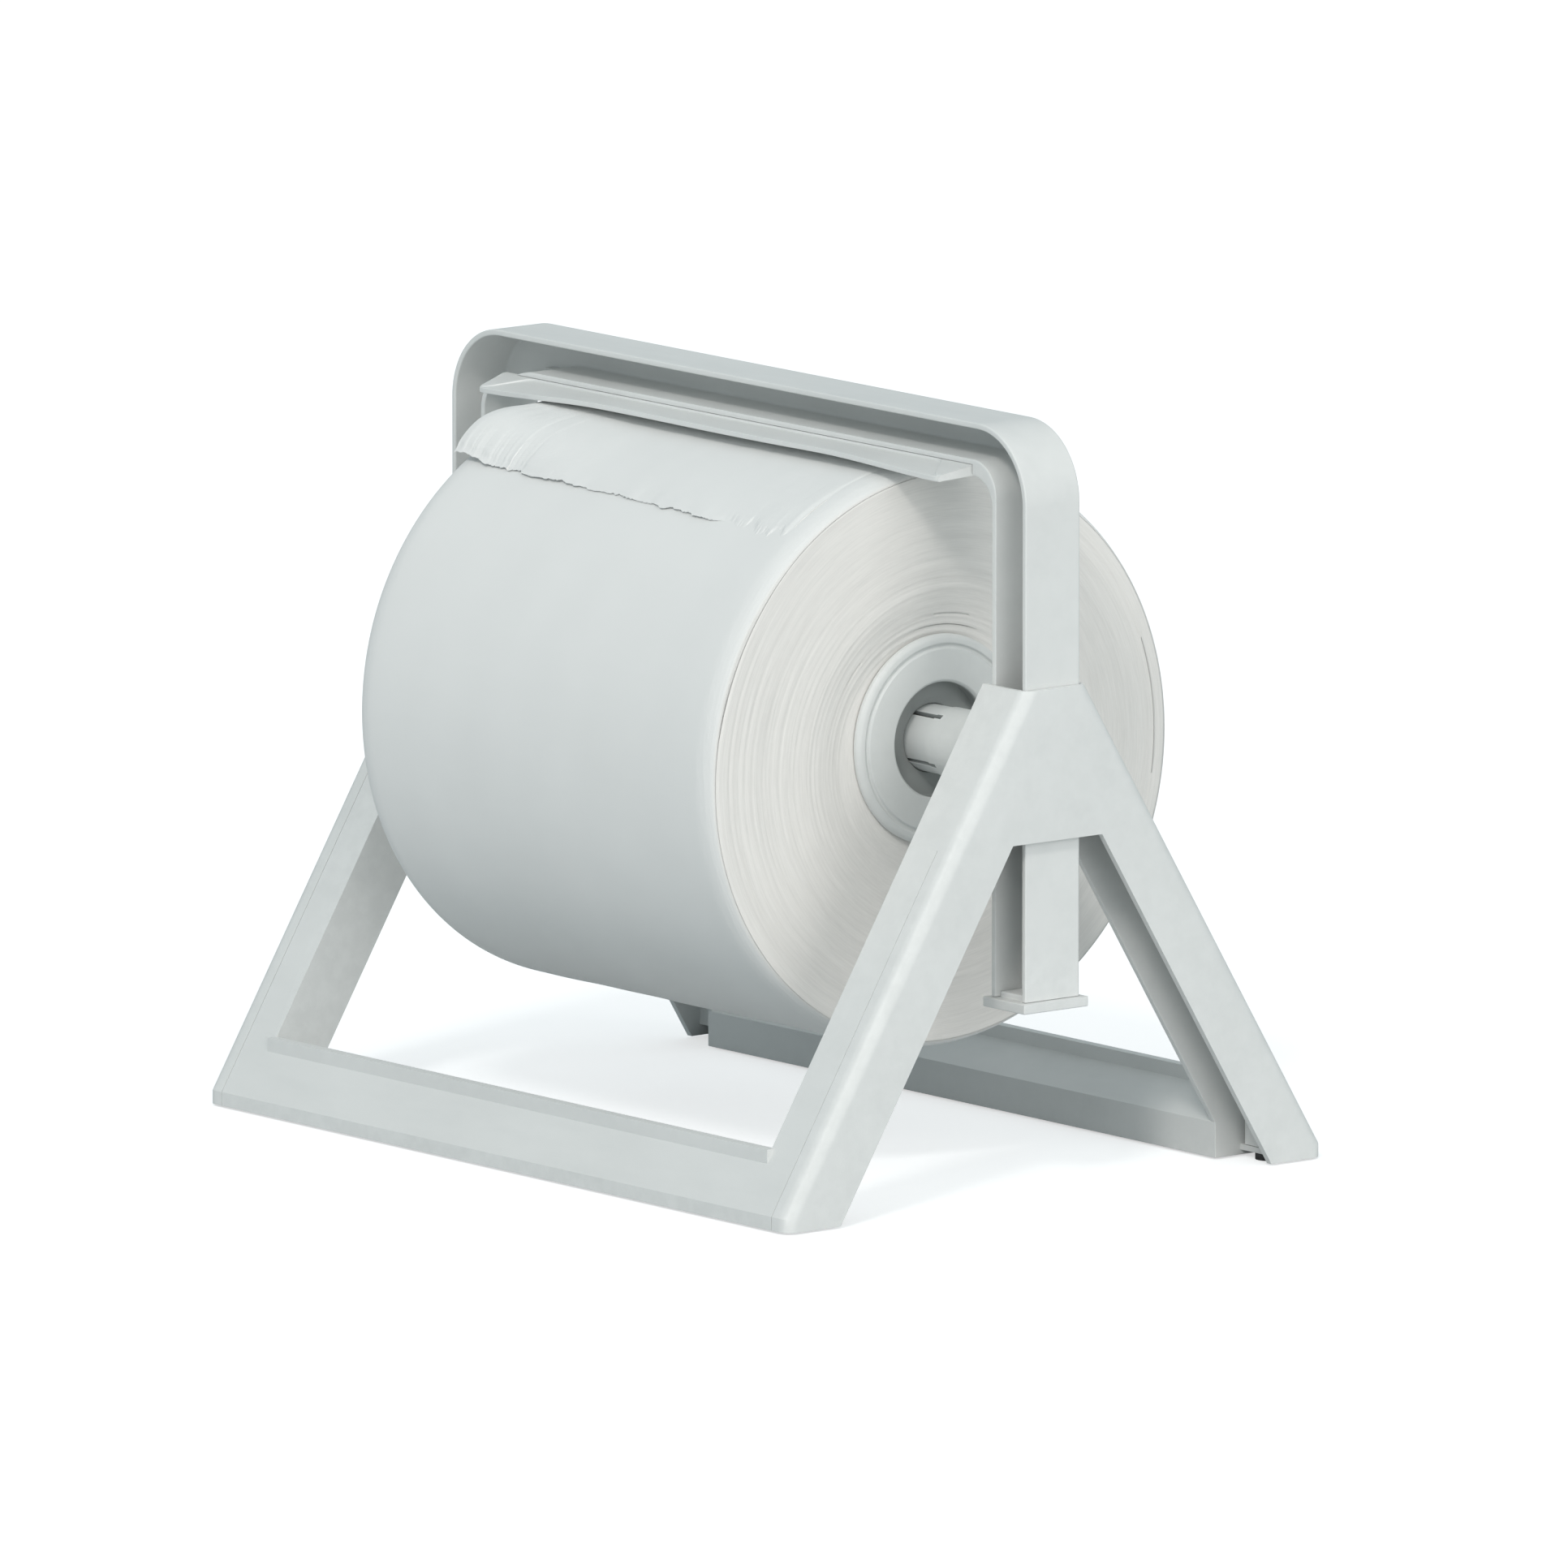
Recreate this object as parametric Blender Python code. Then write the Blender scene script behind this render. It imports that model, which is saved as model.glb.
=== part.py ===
"""Bench roll dispenser: an A-frame stand, a lift-out hoop with a tear shelf, and a paper roll.

Frame: X runs along the roll axis (right), Y to the back, Z up. The origin is on the floor,
under the middle of the stand. All lengths are in metres.
"""
import math

import bmesh
import bpy
from mathutils import Matrix, Vector

# Clearances shared by all pieces
GAP = 0.0003
SLIDE_GAP = 0.0004
OVERRUN = 0.002

# Stand: outline of the A-shaped side, seen along X
STAND_WIDTH = 0.464
STAND_DEPTH = 0.340
STAND_HEIGHT = 0.2535
APEX_DEPTH = 0.040
FOOT_LIP_HEIGHT = 0.008
LEG_DEPTH = 0.038
APEX_BLOCK_HEIGHT = 0.0755
STAND_WALL = 0.0035
STAND_CORNER_RADIUS = 0.007
SIDE_RETURN = 0.012
LEG_WIDTH = 0.034
SHELL_BOTTOM = 0.001

# Stand: the bars that close the front and the rear frame
BAR_HEIGHT = 0.037
BAR_LIP_HEIGHT = 0.007
BAR_LIP_DEPTH = 0.0055
BAR_INNER_HEIGHT = 0.019

# Stand: foot joint, under each corner
FOOT_WEB_HEIGHT = 0.0024
FOOT_WEB_THICKNESS = 0.003
FOOT_BLOCK_HEIGHT = 0.013
FOOT_BLOCK_DEPTH = 0.014
FOOT_BLOCK_WIDTH = 0.020
FOOT_SCREW_FROM_EDGE = 0.0215
FOOT_SCREW_INSET = 0.017
FOOT_SCREW_RADIUS = 0.0018
FOOT_SCREW_LENGTH = 0.012
FOOT_SCREW_HEAD_RADIUS = 0.0032
FOOT_SCREW_HEAD_HEIGHT = 0.0009
FOOT_PAD_RADIUS = 0.0068
FOOT_PAD_FLOOR = 0.0009

# Hoop: an inverted U of open channel
HOOP_DEPTH = 0.0345
HOOP_RISE = 0.128
HOOP_LEG_WIDTH = 0.0265
HOOP_WALL = 0.003
HOOP_OUTER_RADIUS = 0.038
HOOP_INNER_RADIUS = 0.015
HOOP_FLOOR_RISE = 0.006
HOOP_FLOOR_THICKNESS = 0.0033
LEG_END_HEIGHT = 0.0983
CAP_PLATE_HEIGHT = 0.005
CAP_LIP = 0.003
CAP_PLUG_HEIGHT = 0.014

# Tear shelf: a flat blade held in a seat under the floor of the hoop's top channel
SHELF_LENGTH = 0.362
SHELF_REACH = 0.019
SHELF_THICKNESS = 0.003
SHELF_DROOP = 0.001
SHELF_CORNER_RADIUS = 0.007
SHELF_END_INSET = 0.0150
SHELF_LIP_THICKNESS = 0.003
SHELF_RIB_THICKNESS = 0.005
SHELF_SCREW_SPACING = 0.125
SHELF_SCREW_RADIUS = 0.0014
SHELF_SCREW_HEAD_RADIUS = 0.0028
SHELF_SCREW_HEAD_HEIGHT = 0.0015
SHELF_SCREW_GRIP = 0.0036

# Spindles: split tubes that snap into the hubs
SPINDLE_BELOW_APEX = 0.0375
SPINDLE_RADIUS = 0.0174
SPINDLE_NECK_RADIUS = 0.0168
SPINDLE_WALL = 0.0030
SPINDLE_BASE_THICKNESS = 0.007
SPINDLE_SNAP_RADIUS = 0.0178
SPINDLE_SNAP_WIDTH = 0.0026
SPINDLE_NOSE_RADIUS = 0.0150
SPINDLE_NOSE_LENGTH = 0.0030
SPINDLE_NECK_LENGTH = 0.020
SPINDLE_SLOT_WIDTH = 0.0026
SPINDLE_SLOT_LENGTH = 0.030
SPINDLE_SLOT_TURN = math.radians(36.0)
SPINDLE_SCREW_RADIUS = 0.0025
SPINDLE_SCREW_LENGTH = 0.013
SPINDLE_SCREW_HEAD_RADIUS = 0.0045
SPINDLE_SCREW_HEAD_HEIGHT = 0.003

# Roll of paper on its core
ROLL_DROP = 0.0085
ROLL_LENGTH = 0.284
ROLL_RADIUS = 0.146
ROLL_SHOULDER_LENGTH = 0.014
ROLL_SHOULDER_DEPTH = 0.0055
ROLL_DISH_DEPTH = 0.005
ROLL_DISH_RADIUS = 0.086
HUB_SEAT_MARGIN = 0.0008
CORE_WALL = 0.003
CORE_SETBACK = 0.0005
SHEET_THICKNESS = 0.0006
SHEET_TORN_ANGLE = math.radians(128.0)
SHEET_FAR_ANGLE = math.radians(20.0)
SHEET_TEAR_DEPTH = 0.004
SHEET_END_INSET = 0.0145

# Hubs: flanged plugs that carry the core and turn on the spindles
HUB_FLANGE_RADIUS = 0.0525
HUB_FLANGE_THICKNESS = 0.004
HUB_RIM_WIDTH = 0.0045
HUB_RIM_STEP = 0.0012
HUB_HOLE_RADIUS = 0.030
HUB_SLEEVE_RADIUS = 0.0317
HUB_SLEEVE_LENGTH = 0.030
HUB_SLEEVE_WALL = 0.0025
HUB_RECESS = 0.0085
HUB_WEB_THICKNESS = 0.003

# Facet counts
CORNER_STEPS = 8
SMALL_CORNER_STEPS = 4
ROUND_SIDES = 48
SCREW_SIDES = 12
ROLL_SIDES = 72
SHOULDER_STEPS = 6
SHEET_STEPS = 20
SHEET_ACROSS = 22
NOTCH_STEPS = 16

# Torn edge: two waves, as counts over the width and as shares of the depth
TEAR_WAVE_COUNTS = (2.3, 5.1)
TEAR_WAVE_SHARES = (0.6, 0.4)

# Places that follow from the sizes above
HALF_WIDTH = STAND_WIDTH / 2
HALF_DEPTH = STAND_DEPTH / 2
HALF_APEX = APEX_DEPTH / 2
OPENING_TOP = STAND_HEIGHT - APEX_BLOCK_HEIGHT
HOOP_TOP = STAND_HEIGHT + HOOP_RISE
SPINDLE_HEIGHT = STAND_HEIGHT - SPINDLE_BELOW_APEX
ROLL_HEIGHT = SPINDLE_HEIGHT - ROLL_DROP
CORE_INNER_RADIUS = HUB_SLEEVE_RADIUS + ROLL_DROP + GAP
LEG_LEAN = (HALF_DEPTH - HALF_APEX) / (STAND_HEIGHT - FOOT_LIP_HEIGHT)
SLOPED_WALL = STAND_WALL * math.hypot(1, LEG_LEAN)
LEG_INNER_X = HALF_WIDTH - LEG_WIDTH
HOOP_HALF_WIDTH = HALF_WIDTH - STAND_WALL - SLIDE_GAP
HOOP_INNER_X = HOOP_HALF_WIDTH - HOOP_LEG_WIDTH
HOOP_HALF_DEPTH = HOOP_DEPTH / 2
HOOP_INNER_TOP = HOOP_TOP - HOOP_LEG_WIDTH + HOOP_WALL
HOOP_SEAT_TOP = HOOP_INNER_TOP + HOOP_FLOOR_RISE - HOOP_FLOOR_THICKNESS
ROLL_END_X = ROLL_LENGTH / 2
HUB_SEAT_X = ROLL_END_X - ROLL_DISH_DEPTH
HUB_SEAT_RADIUS = HUB_FLANGE_RADIUS + ROLL_DROP + HUB_SEAT_MARGIN
HUB_FACE_X = HUB_SEAT_X + GAP + HUB_FLANGE_THICKNESS
HUB_WEB_OUTER_X = HUB_FACE_X - HUB_RECESS
HUB_WEB_INNER_X = HUB_WEB_OUTER_X - HUB_WEB_THICKNESS
SPINDLE_SNAP_X = HUB_WEB_INNER_X - GAP
FOOT_SCREW_X = HALF_WIDTH - FOOT_SCREW_INSET
FOOT_SCREW_Y = HALF_DEPTH - FOOT_SCREW_FROM_EDGE
FOOT_WEB_TOP = SHELL_BOTTOM + FOOT_WEB_HEIGHT + FOOT_WEB_THICKNESS
BAR_SHOULDER = BAR_HEIGHT - BAR_LIP_HEIGHT
SIDES = ((-1, "left"), (1, "right"))
ENDS = ((-1, "front"), (1, "rear"))


def outer_y(height):
    """Depth of the leg's outer edge at a height, measured from the middle."""
    return HALF_APEX + (STAND_HEIGHT - height) * LEG_LEAN


def inner_y(height):
    """Depth of the leg's inner edge at a height, measured from the middle."""
    return outer_y(height) - LEG_DEPTH


BAR_INNER_Y = inner_y(BAR_INNER_HEIGHT)


def clear_scene():
    for item in list(bpy.data.objects):
        bpy.data.objects.remove(item, do_unlink=True)


def material(name, colour, roughness, metallic=0.0):
    made = bpy.data.materials.get(name)
    if made:
        return made
    made = bpy.data.materials.new(name)
    made.use_nodes = True
    shader = made.node_tree.nodes["Principled BSDF"]
    shader.inputs["Base Color"].default_value = (*colour, 1.0)
    shader.inputs["Roughness"].default_value = roughness
    shader.inputs["Metallic"].default_value = metallic
    made.diffuse_color = (*colour, 1.0)
    return made


def white_plastic():
    return material("white_plastic", (0.68, 0.70, 0.70), 0.45)


def paper():
    return material("paper", (0.78, 0.77, 0.75), 0.95)


def cardboard():
    return material("cardboard", (0.42, 0.33, 0.23), 0.9)


def steel():
    return material("steel", (0.55, 0.56, 0.57), 0.35, 1.0)


def rubber():
    return material("rubber", (0.05, 0.05, 0.05), 0.8)


def place(name, bm, finish=None, location=(0, 0, 0), smooth=False):
    """Turns a bmesh into a named object. Without a finish it is a hidden cutter."""
    bmesh.ops.recalc_face_normals(bm, faces=bm.faces)
    mesh = bpy.data.meshes.new(name)
    bm.to_mesh(mesh)
    bm.free()
    made = bpy.data.objects.new(name, mesh)
    made.location = location
    bpy.context.scene.collection.objects.link(made)
    if finish:
        mesh.materials.append(finish)
    else:
        made.hide_render = True
        made.display_type = "WIRE"
    if smooth:
        mesh.shade_smooth()
        mesh.set_sharp_from_angle(angle=math.radians(35.0))
    return made


def prism(outline, start, end, axis):
    """Extrudes an outline. Along X the outline is (y, z), along Y (x, z), along Z (x, y)."""
    bm = bmesh.new()
    order = {
        "X": lambda a, b: (start, a, b),
        "Y": lambda a, b: (a, start, b),
        "Z": lambda a, b: (a, b, start),
    }
    verts = [bm.verts.new(order[axis](a, b)) for a, b in outline]
    face = bm.faces.new(verts)
    moved = bmesh.ops.extrude_face_region(bm, geom=[face])
    step = Vector([end - start if axis == letter else 0 for letter in "XYZ"])
    tops = [item for item in moved["geom"] if isinstance(item, bmesh.types.BMVert)]
    bmesh.ops.translate(bm, verts=tops, vec=step)
    return bm


def box(low, high):
    bm = bmesh.new()
    made = bmesh.ops.create_cube(bm, size=1)
    low, high = Vector(low), Vector(high)
    size = high - low
    bmesh.ops.scale(bm, verts=made["verts"], vec=size)
    bmesh.ops.translate(bm, verts=made["verts"], vec=(low + high) / 2)
    return bm


def turned(profile, sides, turn=None):
    """Spins a closed profile of (along, radius) points about X, then turns it if asked."""
    bm = bmesh.new()
    rings = []
    for along, radius in profile:
        if radius == 0:
            rings.append([bm.verts.new((along, 0, 0))] * sides)
            continue
        angles = [2 * math.pi * k / sides for k in range(sides)]
        rings.append([bm.verts.new((along, radius * math.cos(t), radius * math.sin(t))) for t in angles])
    for first, second in zip(rings, rings[1:] + rings[:1]):
        for k in range(sides):
            corners = [first[k], first[(k + 1) % sides], second[(k + 1) % sides], second[k]]
            corners = [v for n, v in enumerate(corners) if v not in corners[:n]]
            if len(corners) > 2:
                bm.faces.new(corners)
    if turn:
        bmesh.ops.transform(bm, matrix=turn, verts=bm.verts)
    return bm


def rod(radius, start, end, sides, axis="X", place_at=(0, 0, 0)):
    """A plain round bar along X, Y or Z."""
    bm = turned([(start, 0), (start, radius), (end, radius), (end, 0)], sides)
    turns = {
        "X": Matrix(),
        "Y": Matrix.Rotation(math.pi / 2, 4, "Z"),
        "Z": Matrix.Rotation(-math.pi / 2, 4, "Y"),
    }
    bmesh.ops.transform(bm, matrix=Matrix.Translation(place_at) @ turns[axis], verts=bm.verts)
    return bm


def arc(centre, radius, start, end, steps):
    """Points on an arc from one angle to another, in degrees."""
    angles = [math.radians(start + (end - start) * k / steps) for k in range(steps + 1)]
    return [(centre[0] + radius * math.cos(t), centre[1] + radius * math.sin(t)) for t in angles]


def boolean(target, tool, operation):
    step = target.modifiers.new(f"{operation.lower()}_{tool.name}", "BOOLEAN")
    step.operation = operation
    step.solver = "EXACT"
    step.object = tool


def cut(target, name, bm):
    boolean(target, place(f"{target.name}_{name}", bm), "DIFFERENCE")


def join(target, name, bm):
    boolean(target, place(f"{target.name}_{name}", bm), "UNION")


def mirrored(bm, side, axis=0):
    """Mirrors a bmesh across the middle when the side is -1."""
    if side < 0:
        scale = Matrix.Scale(-1, 4, Vector([1 if n == axis else 0 for n in range(3)]))
        bmesh.ops.transform(bm, matrix=scale, verts=bm.verts)
        bmesh.ops.reverse_faces(bm, faces=bm.faces)
    return bm


def leg_channel(top):
    """Outline of the hollow inside a front leg, open towards the middle of the stand."""
    lip_y = HALF_DEPTH - STAND_WALL
    bend = STAND_HEIGHT - (lip_y + SLOPED_WALL - HALF_APEX) / LEG_LEAN
    below = SHELL_BOTTOM - OVERRUN
    return [(-lip_y, below), (-lip_y, bend), (-outer_y(top) + SLOPED_WALL, top), (0, top), (0, below)]


def side_outline():
    """Outline of the whole A, in (y, z)."""
    half = [(HALF_DEPTH, SHELL_BOTTOM), (HALF_DEPTH, FOOT_LIP_HEIGHT), (HALF_APEX, STAND_HEIGHT)]
    inner = [(inner_y(OPENING_TOP), OPENING_TOP), (inner_y(SHELL_BOTTOM), SHELL_BOTTOM)]
    left = [(-y, z) for y, z in half]
    right = half[::-1]
    return left + right + inner[::-1] + [(-y, z) for y, z in inner]


def round_outer_edges(bm):
    """Rounds the long outer edges where the side plate turns into the sloping flanges."""
    picked = []
    for edge in bm.edges:
        a, b = edge.verts
        at_side = min(a.co.x, b.co.x) > HALF_WIDTH - GAP
        on_slope = all(abs(abs(v.co.y) - min(outer_y(v.co.z), HALF_DEPTH)) < GAP for v in (a, b))
        crosses = a.co.y * b.co.y < 0
        if at_side and on_slope and not crosses:
            picked.append(edge)
    bmesh.ops.bevel(bm, geom=picked, offset=STAND_CORNER_RADIUS, segments=SMALL_CORNER_STEPS,
                    profile=0.5, affect="EDGES", clamp_overlap=True)


def side_frame(name, side):
    """A-shaped side: plate, returned edges, and the pocket at the top that guides the hoop's leg."""
    return_x = HALF_WIDTH - SIDE_RETURN
    plate_x = HALF_WIDTH - STAND_WALL
    shell = prism(side_outline(), LEG_INNER_X, HALF_WIDTH, "X")
    round_outer_edges(shell)
    frame = place(name, mirrored(shell, side), white_plastic())

    # Only the pocket block at the top reaches in over the full width of the leg
    below = box((LEG_INNER_X - OVERRUN, -HALF_DEPTH - OVERRUN, SHELL_BOTTOM - OVERRUN),
                (return_x, HALF_DEPTH + OVERRUN, OPENING_TOP))
    cut(frame, "below_block", mirrored(below, side))
    for end, where in ENDS:
        section = [(-end * y, z) for y, z in leg_channel(OPENING_TOP)]
        channel = prism(section, return_x - OVERRUN, plate_x, "X")
        cut(frame, f"channel_{where}", mirrored(channel, side))

    pocket_y = HOOP_HALF_DEPTH + SLIDE_GAP
    pocket_x = HOOP_INNER_X - SLIDE_GAP
    pocket = box((pocket_x, -pocket_y, OPENING_TOP - OVERRUN), (plate_x, pocket_y, STAND_HEIGHT + OVERRUN))
    cut(frame, "pocket", mirrored(pocket, side))

    # Hollow wedges between the pocket's walls and the sloping flanges, open below
    wedge_y = pocket_y + STAND_WALL
    wedge_low = OPENING_TOP - OVERRUN
    wedge_peak = STAND_HEIGHT - (wedge_y + SLOPED_WALL - HALF_APEX) / LEG_LEAN
    wedge = [(wedge_y, wedge_low), (outer_y(wedge_low) - SLOPED_WALL, wedge_low), (wedge_y, wedge_peak)]
    for end, where in ENDS:
        hollow = prism([(end * y, z) for y, z in wedge], pocket_x, plate_x, "X")
        cut(frame, f"wedge_{where}", mirrored(hollow, side))

    # Saddle notch that the spindle drops into
    notch_radius = SPINDLE_RADIUS + SLIDE_GAP
    notch = arc((0, SPINDLE_HEIGHT), notch_radius, 180, 360, NOTCH_STEPS)
    notch += [(notch_radius, STAND_HEIGHT + OVERRUN), (-notch_radius, STAND_HEIGHT + OVERRUN)]
    saddle = prism(notch, LEG_INNER_X - OVERRUN, pocket_x + GAP, "X")
    cut(frame, "saddle", mirrored(saddle, side))

    # A block in each foot takes the screw that holds the front or the rear frame
    for end, where in ENDS:
        low = (FOOT_SCREW_X - FOOT_BLOCK_WIDTH / 2, FOOT_SCREW_Y - FOOT_BLOCK_DEPTH / 2, FOOT_WEB_TOP + GAP)
        high = (plate_x + GAP, FOOT_SCREW_Y + FOOT_BLOCK_DEPTH / 2, FOOT_WEB_TOP + GAP + FOOT_BLOCK_HEIGHT)
        block = mirrored(box(low, high), end, axis=1)
        join(frame, f"foot_block_{where}", mirrored(block, side))
        hole = rod(FOOT_SCREW_RADIUS + GAP, FOOT_WEB_TOP - OVERRUN, FOOT_WEB_TOP + FOOT_SCREW_LENGTH,
                   SCREW_SIDES, "Z", (FOOT_SCREW_X, end * FOOT_SCREW_Y, 0))
        cut(frame, f"foot_hole_{where}", mirrored(hole, side))


def bar_hollow():
    """Section of the bar's hollow in (depth from the middle, height), open below."""
    peak_y = outer_y(BAR_SHOULDER) - BAR_LIP_DEPTH / 2
    below = SHELL_BOTTOM - OVERRUN
    return [
        (HALF_DEPTH - STAND_WALL, below),
        (HALF_DEPTH - STAND_WALL, FOOT_LIP_HEIGHT - STAND_WALL / 2),
        (peak_y, BAR_SHOULDER - SLOPED_WALL),
        (BAR_INNER_Y + STAND_WALL, BAR_INNER_HEIGHT - STAND_WALL),
        (BAR_INNER_Y + STAND_WALL, below),
    ]


def window_outline(top):
    """Section of the opening between the legs, above the bar's shoulder and its inner slope."""
    back_y = outer_y(BAR_SHOULDER) - BAR_LIP_DEPTH
    fall = (BAR_SHOULDER - BAR_INNER_HEIGHT) / (back_y - BAR_INNER_Y)
    inner_z = BAR_INNER_HEIGHT - OVERRUN * fall
    return [
        (HALF_DEPTH, BAR_SHOULDER),
        (back_y, BAR_SHOULDER),
        (BAR_INNER_Y - OVERRUN, inner_z),
        (0, inner_z),
        (0, top),
        (HALF_DEPTH, top),
    ]


def end_frame(name, end):
    """Front or rear frame: two channel legs joined by the bar. The end is -1 in front, 1 behind."""
    seam_x = HALF_WIDTH - SIDE_RETURN - GAP
    top = OPENING_TOP - GAP
    outline = [
        (HALF_DEPTH, SHELL_BOTTOM),
        (HALF_DEPTH, FOOT_LIP_HEIGHT),
        (outer_y(top), top),
        (inner_y(top), top),
        (BAR_INNER_Y, BAR_INNER_HEIGHT),
        (BAR_INNER_Y, SHELL_BOTTOM),
    ]
    frame = place(name, prism([(end * y, z) for y, z in outline], -seam_x, seam_x, "X"), white_plastic())
    window = [(end * y, z) for y, z in window_outline(top + OVERRUN)]
    cut(frame, "window", prism(window, -LEG_INNER_X, LEG_INNER_X, "X"))
    hollow = prism([(end * y, z) for y, z in bar_hollow()], -LEG_INNER_X, LEG_INNER_X, "X")
    cut(frame, "hollow", hollow)
    lip_x = LEG_INNER_X + STAND_WALL / 2
    lip_y = outer_y(BAR_SHOULDER)
    lip = box((-lip_x, lip_y - BAR_LIP_DEPTH, BAR_SHOULDER - GAP), (lip_x, lip_y, BAR_HEIGHT))
    join(frame, "lip", mirrored(lip, end, axis=1))
    for side, hand in SIDES:
        section = [(-end * y, z) for y, z in leg_channel(top + OVERRUN)]
        channel = prism(section, LEG_INNER_X + STAND_WALL, HALF_WIDTH, "X")
        cut(frame, f"channel_{hand}", mirrored(channel, side))
        web_low = SHELL_BOTTOM + FOOT_WEB_HEIGHT
        low = (LEG_INNER_X + GAP, FOOT_SCREW_Y - FOOT_BLOCK_DEPTH / 2, web_low)
        high = (seam_x, HALF_DEPTH - GAP, web_low + FOOT_WEB_THICKNESS)
        join(frame, f"foot_web_{hand}", mirrored(mirrored(box(low, high), end, axis=1), side))
        hole = rod(FOOT_SCREW_RADIUS + GAP, 0, FOOT_WEB_TOP + OVERRUN, SCREW_SIDES, "Z",
                   (FOOT_SCREW_X, end * FOOT_SCREW_Y, 0))
        cut(frame, f"screw_hole_{hand}", mirrored(hole, side))


def feet():
    """Four rubber pads under the corners and the four screws they hide."""
    pad_top = SHELL_BOTTOM + FOOT_WEB_HEIGHT - GAP
    head_low = FOOT_PAD_FLOOR + GAP
    head_top = head_low + FOOT_SCREW_HEAD_HEIGHT
    recess = FOOT_SCREW_HEAD_RADIUS + GAP
    pad = [(0, 0), (0, FOOT_PAD_RADIUS), (pad_top, FOOT_PAD_RADIUS), (pad_top, recess),
           (FOOT_PAD_FLOOR, recess), (FOOT_PAD_FLOOR, 0)]
    screw = [(head_low, 0), (head_low, FOOT_SCREW_HEAD_RADIUS), (head_top, FOOT_SCREW_HEAD_RADIUS),
             (head_top, FOOT_SCREW_RADIUS), (FOOT_SCREW_LENGTH, FOOT_SCREW_RADIUS), (FOOT_SCREW_LENGTH, 0)]
    upright = Matrix.Rotation(-math.pi / 2, 4, "Y")
    for side, hand in SIDES:
        for end, where in ENDS:
            spot = (side * FOOT_SCREW_X, end * FOOT_SCREW_Y, 0)
            foot = turned(pad, 2 * SCREW_SIDES, upright)
            place(f"rubber_foot_{where}_{hand}", foot, rubber(), spot, smooth=True)
            fastener = turned(screw, SCREW_SIDES, upright)
            place(f"foot_screw_{where}_{hand}", fastener, steel(), spot, smooth=True)


def hoop_path(inset, bottom):
    """Outer outline of the hoop in (x, z), drawn in from the outside by an inset."""
    half = HOOP_HALF_WIDTH - inset
    top = HOOP_TOP - inset
    radius = HOOP_OUTER_RADIUS - inset
    return ([(half, bottom)] + arc((half - radius, top - radius), radius, 0, 90, CORNER_STEPS)
            + arc((radius - half, top - radius), radius, 90, 180, CORNER_STEPS) + [(-half, bottom)])


def hoop_inner_path(grow, bottom, rise=0):
    """Inner outline of the hoop in (x, z), grown outward by an amount, its top raised by a rise."""
    half = HOOP_INNER_X + grow
    top = HOOP_INNER_TOP - HOOP_WALL + grow + rise
    radius = HOOP_INNER_RADIUS + grow
    return ([(-half, bottom)] + arc((radius - half, top - radius), radius, 180, 90, CORNER_STEPS)
            + arc((half - radius, top - radius), radius, 90, 0, CORNER_STEPS) + [(half, bottom)])


def hoop_frame():
    """Inverted U of channel, open to the front, with the tear shelf's seat under its floor."""
    ring = hoop_path(0, LEG_END_HEIGHT) + hoop_inner_path(0, LEG_END_HEIGHT)
    hoop = place("hoop_frame", prism(ring, -HOOP_HALF_DEPTH, HOOP_HALF_DEPTH, "Y"), white_plastic())
    below = LEG_END_HEIGHT - OVERRUN
    web_y = HOOP_HALF_DEPTH - HOOP_WALL
    channel = hoop_path(HOOP_WALL, below) + hoop_inner_path(HOOP_WALL, below, HOOP_FLOOR_RISE)
    cut(hoop, "channel", prism(channel, -HOOP_HALF_DEPTH - OVERRUN, web_y, "Y"))
    seat_x = HOOP_INNER_X - SHELF_END_INSET
    seat = box((-seat_x, -HOOP_HALF_DEPTH - OVERRUN, HOOP_INNER_TOP - HOOP_WALL - OVERRUN),
               (seat_x, web_y, HOOP_SEAT_TOP))
    cut(hoop, "shelf_seat", seat)
    for side, hand in SIDES:
        hole = rod(SPINDLE_SCREW_RADIUS + GAP, HOOP_INNER_X - OVERRUN, HOOP_INNER_X + HOOP_WALL + OVERRUN,
                   SCREW_SIDES, "X", (0, 0, SPINDLE_HEIGHT))
        cut(hoop, f"spindle_hole_{hand}", mirrored(hole, side))
    for k in (-1, 0, 1):
        hole = rod(SHELF_SCREW_RADIUS + GAP, web_y - OVERRUN, HOOP_HALF_DEPTH + OVERRUN, SCREW_SIDES, "Y",
                   (k * SHELF_SCREW_SPACING, 0, shelf_screw_height()))
        cut(hoop, f"shelf_hole_{k + 1}", hole)


def shelf_screw_height():
    return (HOOP_INNER_TOP - HOOP_WALL + HOOP_SEAT_TOP) / 2


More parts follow.
